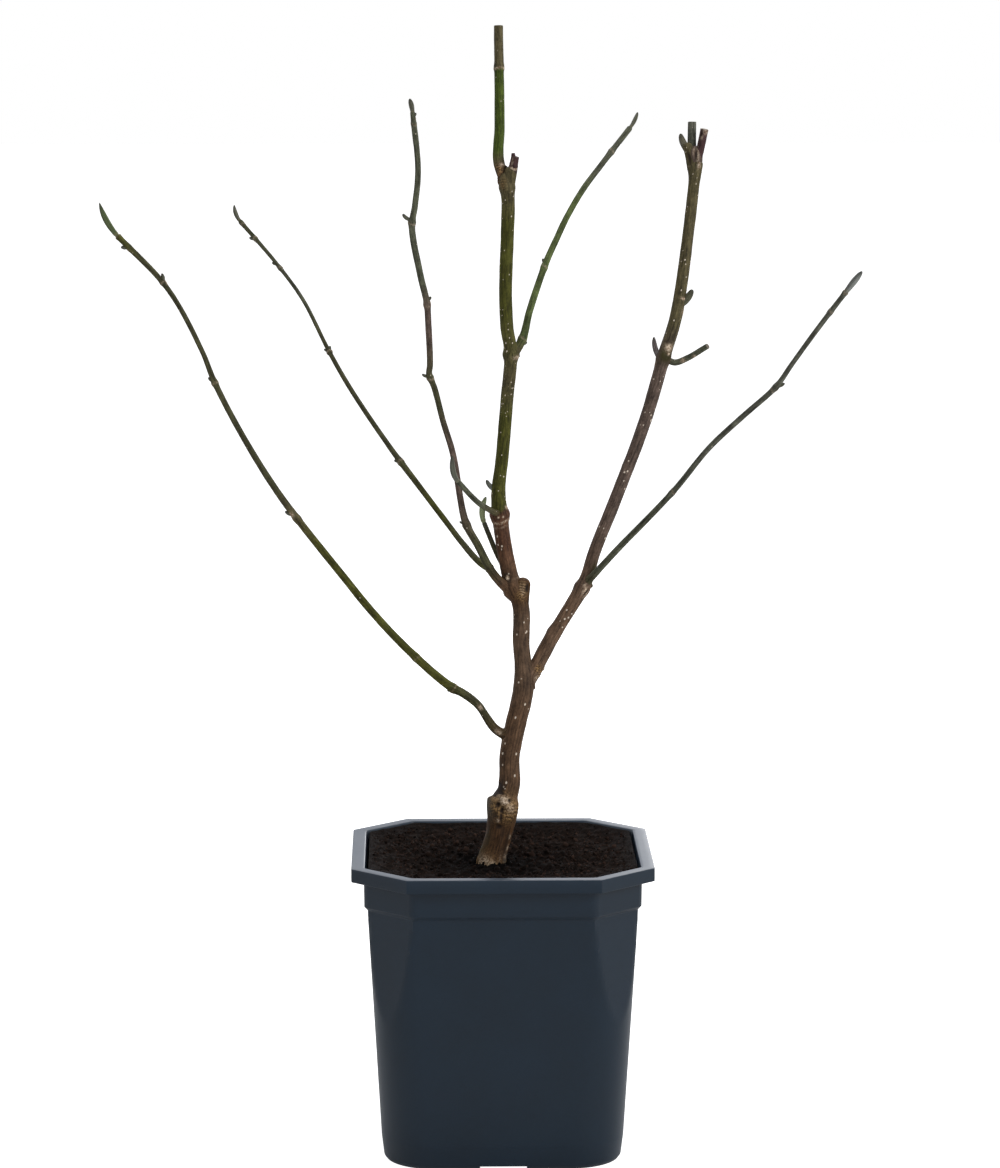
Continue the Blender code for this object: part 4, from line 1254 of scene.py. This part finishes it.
def soil_height(x, y, settings):
    """Height of the peat: coarse and fine lumps, heaped a little round the trunk and
    rising to the wall in the fifth power of the distance from the middle, where the lumps
    die out."""
    heap = 1.6 * MM * np.exp(-((foot_distance(x, y) / (24 * MM)) ** 2))
    share = np.minimum(wall_share(x, y), 1.0)
    banked = 7.1 * MM * share**5
    coarse = settings.unevenness * 0.45 * lumps(x, y, 4, 24 * MM)
    fine = settings.unevenness * 0.34 * lumps(x, y, 9, 5 * MM)
    return SOIL_TOP - 1.0 * MM + heap + banked + (coarse + fine) * (1.0 - 0.92 * share**6)


def soil_arrays(settings):
    """The peat: rings of the pot's plan drawn in to the middle, then down the wall, from
    which the top edge stands off a little."""
    half = COLLAR_HALF - WALL - 1.3 * MM
    share = np.linspace(0.02, 1.0, SOIL_RINGS)[:, None]
    rim = plan_rings([SOIL_TOP], [half], SOIL_COLUMNS)[0]
    x = share * rim[None, :, 0]
    y = share * rim[None, :, 1]
    top = np.stack([x, y, soil_height(x, y, settings)], axis=-1)
    heights = (COLLAR_FOOT + 1.0 * MM, BODY_TOP, BAND_TOP, 2 * FLOOR, FLOOR + SOIL_GAP)
    halves = (COLLAR_HALF - WALL, BODY_TOP_HALF - WALL, BAND_HALF - WALL,
              BASE_HALF + 1.0 * MM, BASE_HALF - WALL)
    wall = plan_rings(heights, np.array(halves) - SOIL_GAP, SOIL_COLUMNS)
    points = np.concatenate([top, wall])[::-1]
    vertices, quads, triangles = closed_grid(points)
    return vertices, quads, triangles, soil_layers(vertices, np.zeros(len(vertices)))


def soil_layers(vertices, crumb):
    """Point values of the peat: how pale a crumb is, and how much painted shade its place
    gets, which is most near the trunk and strong along the wall."""
    x, y = vertices[:, 0], vertices[:, 1]
    # painted shade: strongest round the trunk's foot, and strong along the pot's wall
    near = np.exp(-((foot_distance(x, y) / (50 * MM)) ** 2))
    edge = 0.7 * np.minimum(wall_share(x, y), 1.0) ** 8
    return {"crumb": crumb, "shade": np.maximum(near, edge)}


def icosahedron():
    """Corners and faces of an icosahedron of radius one."""
    golden = (1 + math.sqrt(5)) / 2
    corners = []
    for a in (-1, 1):
        for b in (-golden, golden):
            corners += [(a, b, 0), (0, a, b), (b, 0, a)]
    points = unit(np.array(corners, dtype=float))
    gaps = np.linalg.norm(points[:, None] - points[None, :], axis=2)
    edge = np.sort(gaps, axis=1)[0, 1] * 1.05
    faces = []
    for i in range(12):
        for j in range(i + 1, 12):
            for k in range(j + 1, 12):
                if gaps[i, j] < edge and gaps[j, k] < edge and gaps[i, k] < edge:
                    normal = np.cross(points[j] - points[i], points[k] - points[i])
                    faces.append((i, j, k) if normal @ points[i] > 0 else (i, k, j))
    return points, np.array(faces)


def crumb_arrays(settings):
    """Loose crumbs of peat: icosahedra, each stretched and turned at random."""
    random = np.random.default_rng(12)
    corners, faces = icosahedron()
    half = COLLAR_HALF - WALL - 2.5 * MM
    turn = random.uniform(0, 2 * math.pi, CRUMB_COUNT)
    share = np.sqrt(random.uniform(0.0, 1.0, CRUMB_COUNT))
    rim = plan_rings([SOIL_TOP], [half], 720)[0]
    edge = rim[(turn / (2 * math.pi) * 720).astype(int) % 720]
    x, y = share * edge[:, 0], share * edge[:, 1]
    size = settings.crumb_size * random.lognormal(-0.2, 0.5, CRUMB_COUNT)
    size = np.clip(size, 0.3 * MM, 2.4 * MM) * (1.0 - 0.7 * share**6)
    z = soil_height(x, y, settings) + 0.15 * size
    stretch = random.uniform(0.55, 1.3, (CRUMB_COUNT, 1, 3))
    jitter = random.uniform(0.78, 1.22, (CRUMB_COUNT, 12, 1))
    angle = random.uniform(0, 2 * math.pi, CRUMB_COUNT)
    shape = corners[None] * stretch * jitter * size[:, None, None]
    cosine, sine = np.cos(angle)[:, None], np.sin(angle)[:, None]
    turned = np.stack(
        [cosine * shape[..., 0] - sine * shape[..., 1],
         sine * shape[..., 0] + cosine * shape[..., 1], shape[..., 2]], axis=-1)
    vertices = turned + np.stack([x, y, z], axis=-1)[:, None, :]
    triangles = faces[None] + 12 * np.arange(CRUMB_COUNT)[:, None, None]
    tone = np.repeat(random.uniform(0.0, 1.0, CRUMB_COUNT) ** 3, 12)
    vertices = vertices.reshape(-1, 3)
    return (vertices, np.zeros((0, 4), dtype=int), triangles.reshape(-1, 3),
            soil_layers(vertices, tone))


def fibre_arrays(settings):
    """Loose fibres on the peat: three-sided rods along a shallow arc, thin at both ends."""
    random = np.random.default_rng(31)
    count, steps = FIBRE_COUNT, 6
    turn = random.uniform(0, 2 * math.pi, count)
    reach = 80 * MM * np.sqrt(random.uniform(0.0, 1.0, count))
    near = random.uniform(0.0, 1.0, count) < 0.25
    reach = np.where(near, 14 * MM * random.uniform(0.6, 1.4, count), reach)
    x = np.where(near, FOOT[0], 0.0) + reach * np.cos(turn)
    y = np.where(near, FOOT[1], 0.0) + reach * np.sin(turn)
    heading = random.uniform(0, 2 * math.pi, count)
    length = random.uniform(2.5, 7.5, count) * MM
    girth = random.uniform(0.10, 0.22, count) * MM
    bow = random.uniform(-0.5, 0.5, count)
    share = np.linspace(0.0, 1.0, steps)
    along = (share - 0.5)[None, :] * length[:, None]
    aside = (share * (1 - share))[None, :] * (bow * length)[:, None]
    px = x[:, None] + along * np.cos(heading)[:, None] - aside * np.sin(heading)[:, None]
    py = y[:, None] + along * np.sin(heading)[:, None] + aside * np.cos(heading)[:, None]
    lift = (0.25 * MM + (share * (1 - share))[None, :] * random.uniform(0.0, 3.0, count)[:, None] * MM)
    centre = np.stack([px, py, soil_height(px, py, settings) + lift], axis=-1)
    radius = girth[:, None] * (0.35 + 2.6 * share * (1 - share))[None, :]
    angles = np.array([0.5, 7 / 6, 11 / 6]) * math.pi
    right = np.stack([-np.sin(heading), np.cos(heading), np.zeros(count)], axis=-1)
    ring = (np.cos(angles)[None, None, :, None] * right[:, None, None, :]
            + np.sin(angles)[None, None, :, None] * np.array([0.0, 0.0, 1.0]))
    points = centre[:, :, None, :] + radius[:, :, None, None] * ring
    own = steps * 3
    quads = grid_faces(steps, 3)
    ends = np.array([[2, 1, 0], [own - 3, own - 2, own - 1]])
    offset = own * np.arange(count)[:, None, None]
    vertices = points.reshape(-1, 3)
    tone = np.repeat(random.uniform(0.3, 1.6, count), own)
    return (vertices, (quads[None] + offset).reshape(-1, 4), (ends[None] + offset).reshape(-1, 3),
            soil_layers(vertices, tone))


# Materials


def new_group(name, inputs, outputs):
    """A shader node group with float or vector sockets: (name, type, default)."""
    group = bpy.data.node_groups.new(name, "ShaderNodeTree")
    for label, kind, default in inputs:
        socket = group.interface.new_socket(label, in_out="INPUT", socket_type=kind)
        if default is not None:
            socket.default_value = default
    for label, kind in outputs:
        group.interface.new_socket(label, in_out="OUTPUT", socket_type=kind)
    entry = group.nodes.new("NodeGroupInput")
    leave = group.nodes.new("NodeGroupOutput")
    return group, entry, leave


def mottle_group():
    """Patchy tone and fine relief, from coarse and fine noise at a place."""
    group, entry, leave = new_group(
        "Mottle",
        (("Place", "NodeSocketVector", None), ("Coarse", "NodeSocketFloat", 90.0),
         ("Fine", "NodeSocketFloat", 1400.0)),
        (("Tone", "NodeSocketFloat"), ("Relief", "NodeSocketFloat")),
    )
    nodes, links = group.nodes, group.links
    coarse = nodes.new("ShaderNodeTexNoise")
    coarse.inputs["Detail"].default_value = 6.0
    coarse.inputs["Roughness"].default_value = 0.6
    fine = nodes.new("ShaderNodeTexNoise")
    fine.inputs["Detail"].default_value = 4.0
    total = nodes.new("ShaderNodeMix")
    total.inputs["Factor"].default_value = 0.35
    links.new(entry.outputs["Place"], coarse.inputs["Vector"])
    links.new(entry.outputs["Place"], fine.inputs["Vector"])
    links.new(entry.outputs["Coarse"], coarse.inputs["Scale"])
    links.new(entry.outputs["Fine"], fine.inputs["Scale"])
    links.new(coarse.outputs["Fac"], total.inputs["A"])
    links.new(fine.outputs["Fac"], total.inputs["B"])
    links.new(total.outputs["Result"], leave.inputs["Tone"])
    links.new(fine.outputs["Fac"], leave.inputs["Relief"])
    return group


def new_material(name):
    """A material with its Principled shader, and short ways to its nodes and links."""
    made = bpy.data.materials.new(name)
    made.use_nodes = True
    nodes = made.node_tree.nodes
    return made, nodes, made.node_tree.links, nodes["Principled BSDF"]


def attribute(nodes, name, output="Fac"):
    """A point value that the mesh carries, as a number, a vector or a colour."""
    node = nodes.new("ShaderNodeAttribute")
    node.attribute_name = name
    return node.outputs[output]


def mottle_at(nodes, links, group, place, coarse, fine):
    """The shared mottle, read at a place with its own two scales."""
    node = nodes.new("ShaderNodeGroup")
    node.node_tree = group
    node.inputs["Coarse"].default_value = coarse
    node.inputs["Fine"].default_value = fine
    links.new(place, node.inputs["Place"])
    return node


def object_place(nodes):
    """Object coordinates."""
    return nodes.new("ShaderNodeTexCoord").outputs["Object"]


def scaled(nodes, links, colour, factor):
    """A colour socket multiplied by a factor socket."""
    node = nodes.new("ShaderNodeVectorMath")
    node.operation = "SCALE"
    links.new(colour, node.inputs[0])
    links.new(factor, node.inputs["Scale"])
    return node.outputs["Vector"]


def mix_colour(nodes, links, factor, first, second):
    """Mix two colours, each a socket or plain values, by a factor socket."""
    node = nodes.new("ShaderNodeMix")
    node.data_type = "RGBA"
    colours = [socket for socket in node.inputs if socket.type == "RGBA"]
    for socket, value in zip(colours, (first, second)):
        if isinstance(value, bpy.types.NodeSocket):
            links.new(value, socket)
        else:
            socket.default_value = (*value, 1.0)
    links.new(factor, node.inputs["Factor"])
    return next(socket for socket in node.outputs if socket.type == "RGBA")


def ramp(nodes, links, source, low, high, start=0.0, end=1.0):
    """Stretch a value so that low becomes the start and high becomes the end."""
    node = nodes.new("ShaderNodeMapRange")
    node.inputs["From Min"].default_value = low
    node.inputs["From Max"].default_value = high
    node.inputs["To Min"].default_value = start
    node.inputs["To Max"].default_value = end
    links.new(source, node.inputs["Value"])
    return node.outputs["Result"]


def bump(nodes, links, height, strength, distance):
    """A bump node that reads a height."""
    node = nodes.new("ShaderNodeBump")
    node.inputs["Strength"].default_value = strength
    node.inputs["Distance"].default_value = distance
    links.new(height, node.inputs["Height"])
    return node.outputs["Normal"]


def shades(colour, light):
    """A colour made lighter or darker."""
    return tuple(light * value for value in colour)


def bark_material(settings, mottle):
    """Smooth young bark: long streaks of lighter and darker colour, tan flaky patches,
    pale scars and lenticels, and painted shade where the relief dips and in dark pits and grooves."""
    made, nodes, links, shader = new_material("magnolia_bark")
    streak = mottle_at(nodes, links, mottle, attribute(nodes, "grain", "Vector"), 0.9, 4.5)
    blotch = mottle_at(nodes, links, mottle, object_place(nodes), 120.0, 900.0)
    hue = attribute(nodes, "hue", "Color")
    light = ramp(nodes, links, streak.outputs["Tone"], 0.36, 0.64, 0.28, 1.74)
    cloud = ramp(nodes, links, blotch.outputs["Tone"], 0.38, 0.62, 0.64, 1.36)
    base = scaled(nodes, links, scaled(nodes, links, hue, light), cloud)
    slate = mix_colour(nodes, links, attribute(nodes, "slate"), base, (0.072, 0.078, 0.074))
    mossy = mix_colour(nodes, links, attribute(nodes, "olive"), slate, (0.036, 0.031, 0.008))
    flake = ramp(nodes, links, blotch.outputs["Relief"], 0.40, 0.60)
    corky = mix_colour(nodes, links, flake, shades(settings.cork, 0.22), shades(settings.cork, 1.3))
    tan = mix_colour(nodes, links, attribute(nodes, "cork"), mossy, corky)
    fleck = mix_colour(nodes, links, flake, (0.24, 0.15, 0.088), (0.76, 0.62, 0.47))
    scars = mix_colour(nodes, links, attribute(nodes, "scar"), tan, fleck)
    dots = ramp(nodes, links, attribute(nodes, "lenticel"), 0.25, 0.7)
    dotted = mix_colour(nodes, links, dots, scars, (0.80, 0.69, 0.56))
    # painted shade where the relief dips below the bark
    with_dip_shade = mix_colour(nodes, links, attribute(nodes, "hollow"), dotted, (0.022, 0.013, 0.008))
    cut = mix_colour(nodes, links, attribute(nodes, "cut"), with_dip_shade, (0.36, 0.31, 0.25))
    # painted shade from the dark value, except on old cut ends, where it is the wood's own colour
    dark = mix_colour(nodes, links, attribute(nodes, "dark"), cut, (0.020, 0.012, 0.008))
    links.new(dark, shader.inputs["Base Color"])
    gloss = ramp(nodes, links, blotch.outputs["Tone"], 0.0, 1.0, 0.45, 0.75)
    links.new(gloss, shader.inputs["Roughness"])
    shader.inputs["Specular IOR Level"].default_value = 0.1
    fine = bump(nodes, links, streak.outputs["Relief"], 0.5, 0.12 * MM)
    links.new(fine, shader.inputs["Normal"])
    return made


def bud_material(mottle):
    """Downy bud scales: a pale collar at the foot, grey-green with silvery streaks along
    the length, and a dark tip."""
    made, nodes, links, shader = new_material("downy_bud")
    streak = mottle_at(nodes, links, mottle, attribute(nodes, "grain", "Vector"), 2.2, 6.0)
    light = ramp(nodes, links, streak.outputs["Tone"], 0.40, 0.60, 0.35, 1.65)
    scale = scaled(nodes, links, attribute(nodes, "hue", "Color"), light)
    tone = ramp(nodes, links, streak.outputs["Relief"], 0.42, 0.58)
    silver = mix_colour(nodes, links, tone, scale, (0.36, 0.38, 0.36))
    base = mix_colour(nodes, links, attribute(nodes, "downy"), scale, silver)
    tip = ramp(nodes, links, attribute(nodes, "share"), 0.72, 1.0, 0.0, 0.75)
    ended = mix_colour(nodes, links, tip, base, (0.028, 0.026, 0.018))
    foot = ramp(nodes, links, attribute(nodes, "collar"), 0.2, 1.0, 0.0, 0.55)
    footed = mix_colour(nodes, links, foot, ended, (0.22, 0.19, 0.10))
    links.new(footed, shader.inputs["Base Color"])
    shader.inputs["Roughness"].default_value = 0.7
    shader.inputs["Specular IOR Level"].default_value = 0.2
    shader.inputs["Sheen Weight"].default_value = 0.25
    shader.inputs["Sheen Roughness"].default_value = 0.4
    fine = bump(nodes, links, streak.outputs["Relief"], 0.6, 0.15 * MM)
    links.new(fine, shader.inputs["Normal"])
    return made


def soil_material(mottle):
    """Moist peat: almost black, with browner crumbs and fibres, and painted shade round the trunk and
    wall.
    """
    made, nodes, links, shader = new_material("dark_peat")
    patch = mottle_at(nodes, links, mottle, object_place(nodes), 420.0, 2600.0)
    tone = ramp(nodes, links, patch.outputs["Tone"], 0.42, 0.66)
    dark = mix_colour(nodes, links, tone, (0.0030, 0.0022, 0.0016), (0.021, 0.0125, 0.0095))
    mixed = mix_colour(nodes, links, attribute(nodes, "crumb"), dark, (0.062, 0.037, 0.028))
    # painted shade: the colour is darkened where the shade value is high
    painted_shade = ramp(nodes, links, attribute(nodes, "shade"), 0.0, 1.0, 1.15, 0.10)
    links.new(scaled(nodes, links, mixed, painted_shade), shader.inputs["Base Color"])
    shader.inputs["Roughness"].default_value = 0.95
    shader.inputs["Specular IOR Level"].default_value = 0.05
    links.new(bump(nodes, links, patch.outputs["Tone"], 0.9, 1.2 * MM), shader.inputs["Normal"])
    return made


def plastic_material(settings, mottle):
    """Moulded slate plastic: a soft sheen with a faint grain and slight scuffs."""
    made, nodes, links, shader = new_material("slate_plastic")
    patch = mottle_at(nodes, links, mottle, object_place(nodes), 22.0, 900.0)
    tone = ramp(nodes, links, patch.outputs["Tone"], 0.35, 0.7)
    base = mix_colour(nodes, links, tone, shades(settings.colour, 0.88), shades(settings.colour, 1.16))
    links.new(base, shader.inputs["Base Color"])
    low, high = settings.roughness - 0.05, settings.roughness + 0.09
    links.new(ramp(nodes, links, patch.outputs["Tone"], 0.0, 1.0, low, high),
              shader.inputs["Roughness"])
    shader.inputs["Specular IOR Level"].default_value = 0.31
    links.new(bump(nodes, links, patch.outputs["Relief"], 0.06, 0.1 * MM), shader.inputs["Normal"])
    return made


def shared_mottle():
    """The one mottle group, made on its first use."""
    return bpy.data.node_groups.get("Mottle") or mottle_group()


# Operators


class MAGNOLIA_OT_pot(bpy.types.Operator):
    """Make the nursery pot"""

    bl_idname = "magnolia.pot"
    bl_label = "Pot"

    def execute(self, context):
        settings = context.scene.magnolia_pot
        material = plastic_material(settings, shared_mottle())
        piece = place("nursery_pot", pot_mesh(settings), material, "slate_plastic", "pot")
        cut_notches(piece)
        return {"FINISHED"}


class MAGNOLIA_OT_soil(bpy.types.Operator):
    """Make the peat and its loose crumbs"""

    bl_idname = "magnolia.soil"
    bl_label = "Soil"

    def execute(self, context):
        settings = context.scene.magnolia_soil
        material = soil_material(shared_mottle())
        parts = [soil_arrays(settings), crumb_arrays(settings), fibre_arrays(settings)]
        arrays = joined(parts)
        place("peat", mesh_from("peat", *arrays), material, "dark_soil", "soil")
        return {"FINISHED"}


class MAGNOLIA_OT_limbs(bpy.types.Operator):
    """Make the trunk, the boughs and the twigs with their bark"""

    bl_idname = "magnolia.limbs"
    bl_label = "Trunk, boughs and twigs"

    def execute(self, context):
        settings = context.scene.magnolia_bark
        material = bark_material(settings, shared_mottle())
        for limb in LIMBS:
            parts = [limb_arrays(limb, settings)]
            parts += [spur_arrays(limb, spur, settings) for spur in limb.spurs]
            mesh = mesh_from(limb.name + "_bark", *joined(parts))
            place(limb.name + "_bark", mesh, material, limb.slot, *limb.replaces)
        return {"FINISHED"}


class MAGNOLIA_OT_buds(bpy.types.Operator):
    """Make the buds of each limb"""

    bl_idname = "magnolia.buds"
    bl_label = "Buds"

    def execute(self, context):
        settings = context.scene.magnolia_bark
        material = bud_material(shared_mottle())
        for limb in LIMBS:
            if not limb.buds:
                continue
            arrays = joined([bud_arrays(limb, bud, settings) for bud in limb.buds])
            place(limb.name + "_buds", mesh_from(limb.name + "_buds", *arrays), material, "twigs")
        return {"FINISHED"}


def soft_light(name, where, aim, size, power):
    """A large square light that points at a place."""
    light = bpy.data.lights.new(name, "AREA")
    light.shape = "SQUARE"
    light.size = size
    light.energy = power
    item = bpy.data.objects.new(name, light)
    item.location = where
    item.rotation_euler = (Vector(aim) - Vector(where)).to_track_quat("-Z", "Y").to_euler()
    bpy.context.scene.collection.objects.link(item)


def paper_material(name, tone, glow):
    """White paper lit through, as on a light table, and more so where the camera sees it."""
    made, nodes, links, shader = new_material(name)
    shader.inputs["Base Color"].default_value = (tone, tone, tone, 1.0)
    shader.inputs["Roughness"].default_value = 0.9
    shader.inputs["Emission Color"].default_value = (1, 1, 1, 1)
    path = nodes.new("ShaderNodeLightPath")
    strength = ramp(nodes, links, path.outputs["Is Camera Ray"], 0.0, 1.0, 0.16, glow)
    links.new(strength, shader.inputs["Emission Strength"])
    return made


def sky(strength, mirrored):
    """Even white light from all round. The camera sees it as white paper, and glossy
    surfaces mirror it brighter and a little cooler."""
    world = bpy.data.worlds.new("studio")
    world.use_nodes = True
    nodes, links = world.node_tree.nodes, world.node_tree.links
    path = nodes.new("ShaderNodeLightPath")
    glossy = path.outputs["Is Glossy Ray"]
    light = ramp(nodes, links, glossy, 0.0, 1.0, strength, mirrored)
    seen = nodes.new("ShaderNodeMath")
    seen.operation = "MAXIMUM"
    links.new(light, seen.inputs[0])
    links.new(path.outputs["Is Camera Ray"], seen.inputs[1])
    tint = mix_colour(nodes, links, glossy, (1.0, 1.0, 1.0), (0.90, 0.93, 1.0))
    links.new(tint, nodes["Background"].inputs["Color"])
    links.new(seen.outputs["Value"], nodes["Background"].inputs["Strength"])
    return world


class MAGNOLIA_OT_stage(bpy.types.Operator):
    """Make the floor, the lights and the camera"""

    bl_idname = "magnolia.stage"
    bl_label = "Stage"

    def execute(self, context):
        settings = context.scene.magnolia_stage
        corners = FLOOR_REACH * np.array([[-1.0, -1, 0], [1, -1, 0], [1, 1, 0], [-1, 1, 0]])
        sheet = mesh_from("studio_floor", corners, np.array([[0, 1, 2, 3]]),
                          np.zeros((0, 3), dtype=int))
        floor = bpy.data.objects.new("studio_floor", sheet)
        context.scene.collection.objects.link(floor)
        sheet.materials.append(
            paper_material("studio_paper", settings.floor_tone, settings.floor_glow))
        target = (0.0, 0.0, 0.3)
        power = settings.light_power
        soft_light("key_light", (2.5, -2.1, 2.0), target, 1.4, 1.55 * power)
        soft_light("fill_light", (-2.3, -1.9, 1.2), target, 1.4, 0.14 * power)
        soft_light("top_light", (0.0, 0.5, 2.8), target, 1.8, 0.7 * power)
        soft_light("back_light", (0.8, 2.6, 0.78), target, 1.1, 0.27 * power)
        context.scene.world = sky(settings.sky_light, settings.mirrored)
        context.scene.view_settings.view_transform = "Standard"
        lens = bpy.data.cameras.new("camera")
        lens.sensor_fit = "HORIZONTAL"
        lens.sensor_width = SENSOR_WIDTH
        lens.lens = FOCAL_PIXELS / IMAGE_WIDTH * SENSOR_WIDTH
        camera = bpy.data.objects.new("camera", lens)
        camera.location = CAMERA_PLACE
        camera.rotation_euler = Vector(CAMERA_AIM).to_track_quat("-Z", "Y").to_euler()
        context.scene.collection.objects.link(camera)
        context.scene.camera = camera
        return {"FINISHED"}


class MAGNOLIA_PT_panel(bpy.types.Panel):
    """Lists the pieces of the potted magnolia"""

    bl_idname = "MAGNOLIA_PT_panel"
    bl_label = "Potted Magnolia"
    bl_space_type = "VIEW_3D"
    bl_region_type = "UI"
    bl_category = "Magnolia"

    def draw(self, context):
        column = self.layout.column()
        for operator in OPERATORS:
            column.operator(operator.bl_idname)


GROUPS = {
    "magnolia_pot": PotSettings, "magnolia_bark": BarkSettings,
    "magnolia_soil": SoilSettings, "magnolia_stage": StageSettings,
}
OPERATORS = (
    MAGNOLIA_OT_pot, MAGNOLIA_OT_soil, MAGNOLIA_OT_limbs, MAGNOLIA_OT_buds, MAGNOLIA_OT_stage,
)


def register():
    """Register the settings, the operators and the panel."""
    for name, group in GROUPS.items():
        bpy.utils.register_class(group)
        setattr(bpy.types.Scene, name, bpy.props.PointerProperty(type=group))
    for operator in (*OPERATORS, MAGNOLIA_PT_panel):
        bpy.utils.register_class(operator)


def unregister():
    """Remove what register added."""
    for operator in (*OPERATORS, MAGNOLIA_PT_panel):
        bpy.utils.unregister_class(operator)
    for name, group in GROUPS.items():
        delattr(bpy.types.Scene, name)
        bpy.utils.unregister_class(group)


def main():
    """Make every piece."""
    register()
    bpy.ops.magnolia.pot()
    bpy.ops.magnolia.soil()
    bpy.ops.magnolia.limbs()
    bpy.ops.magnolia.buds()
    bpy.ops.magnolia.stage()


if __name__ == "__main__":
    main()
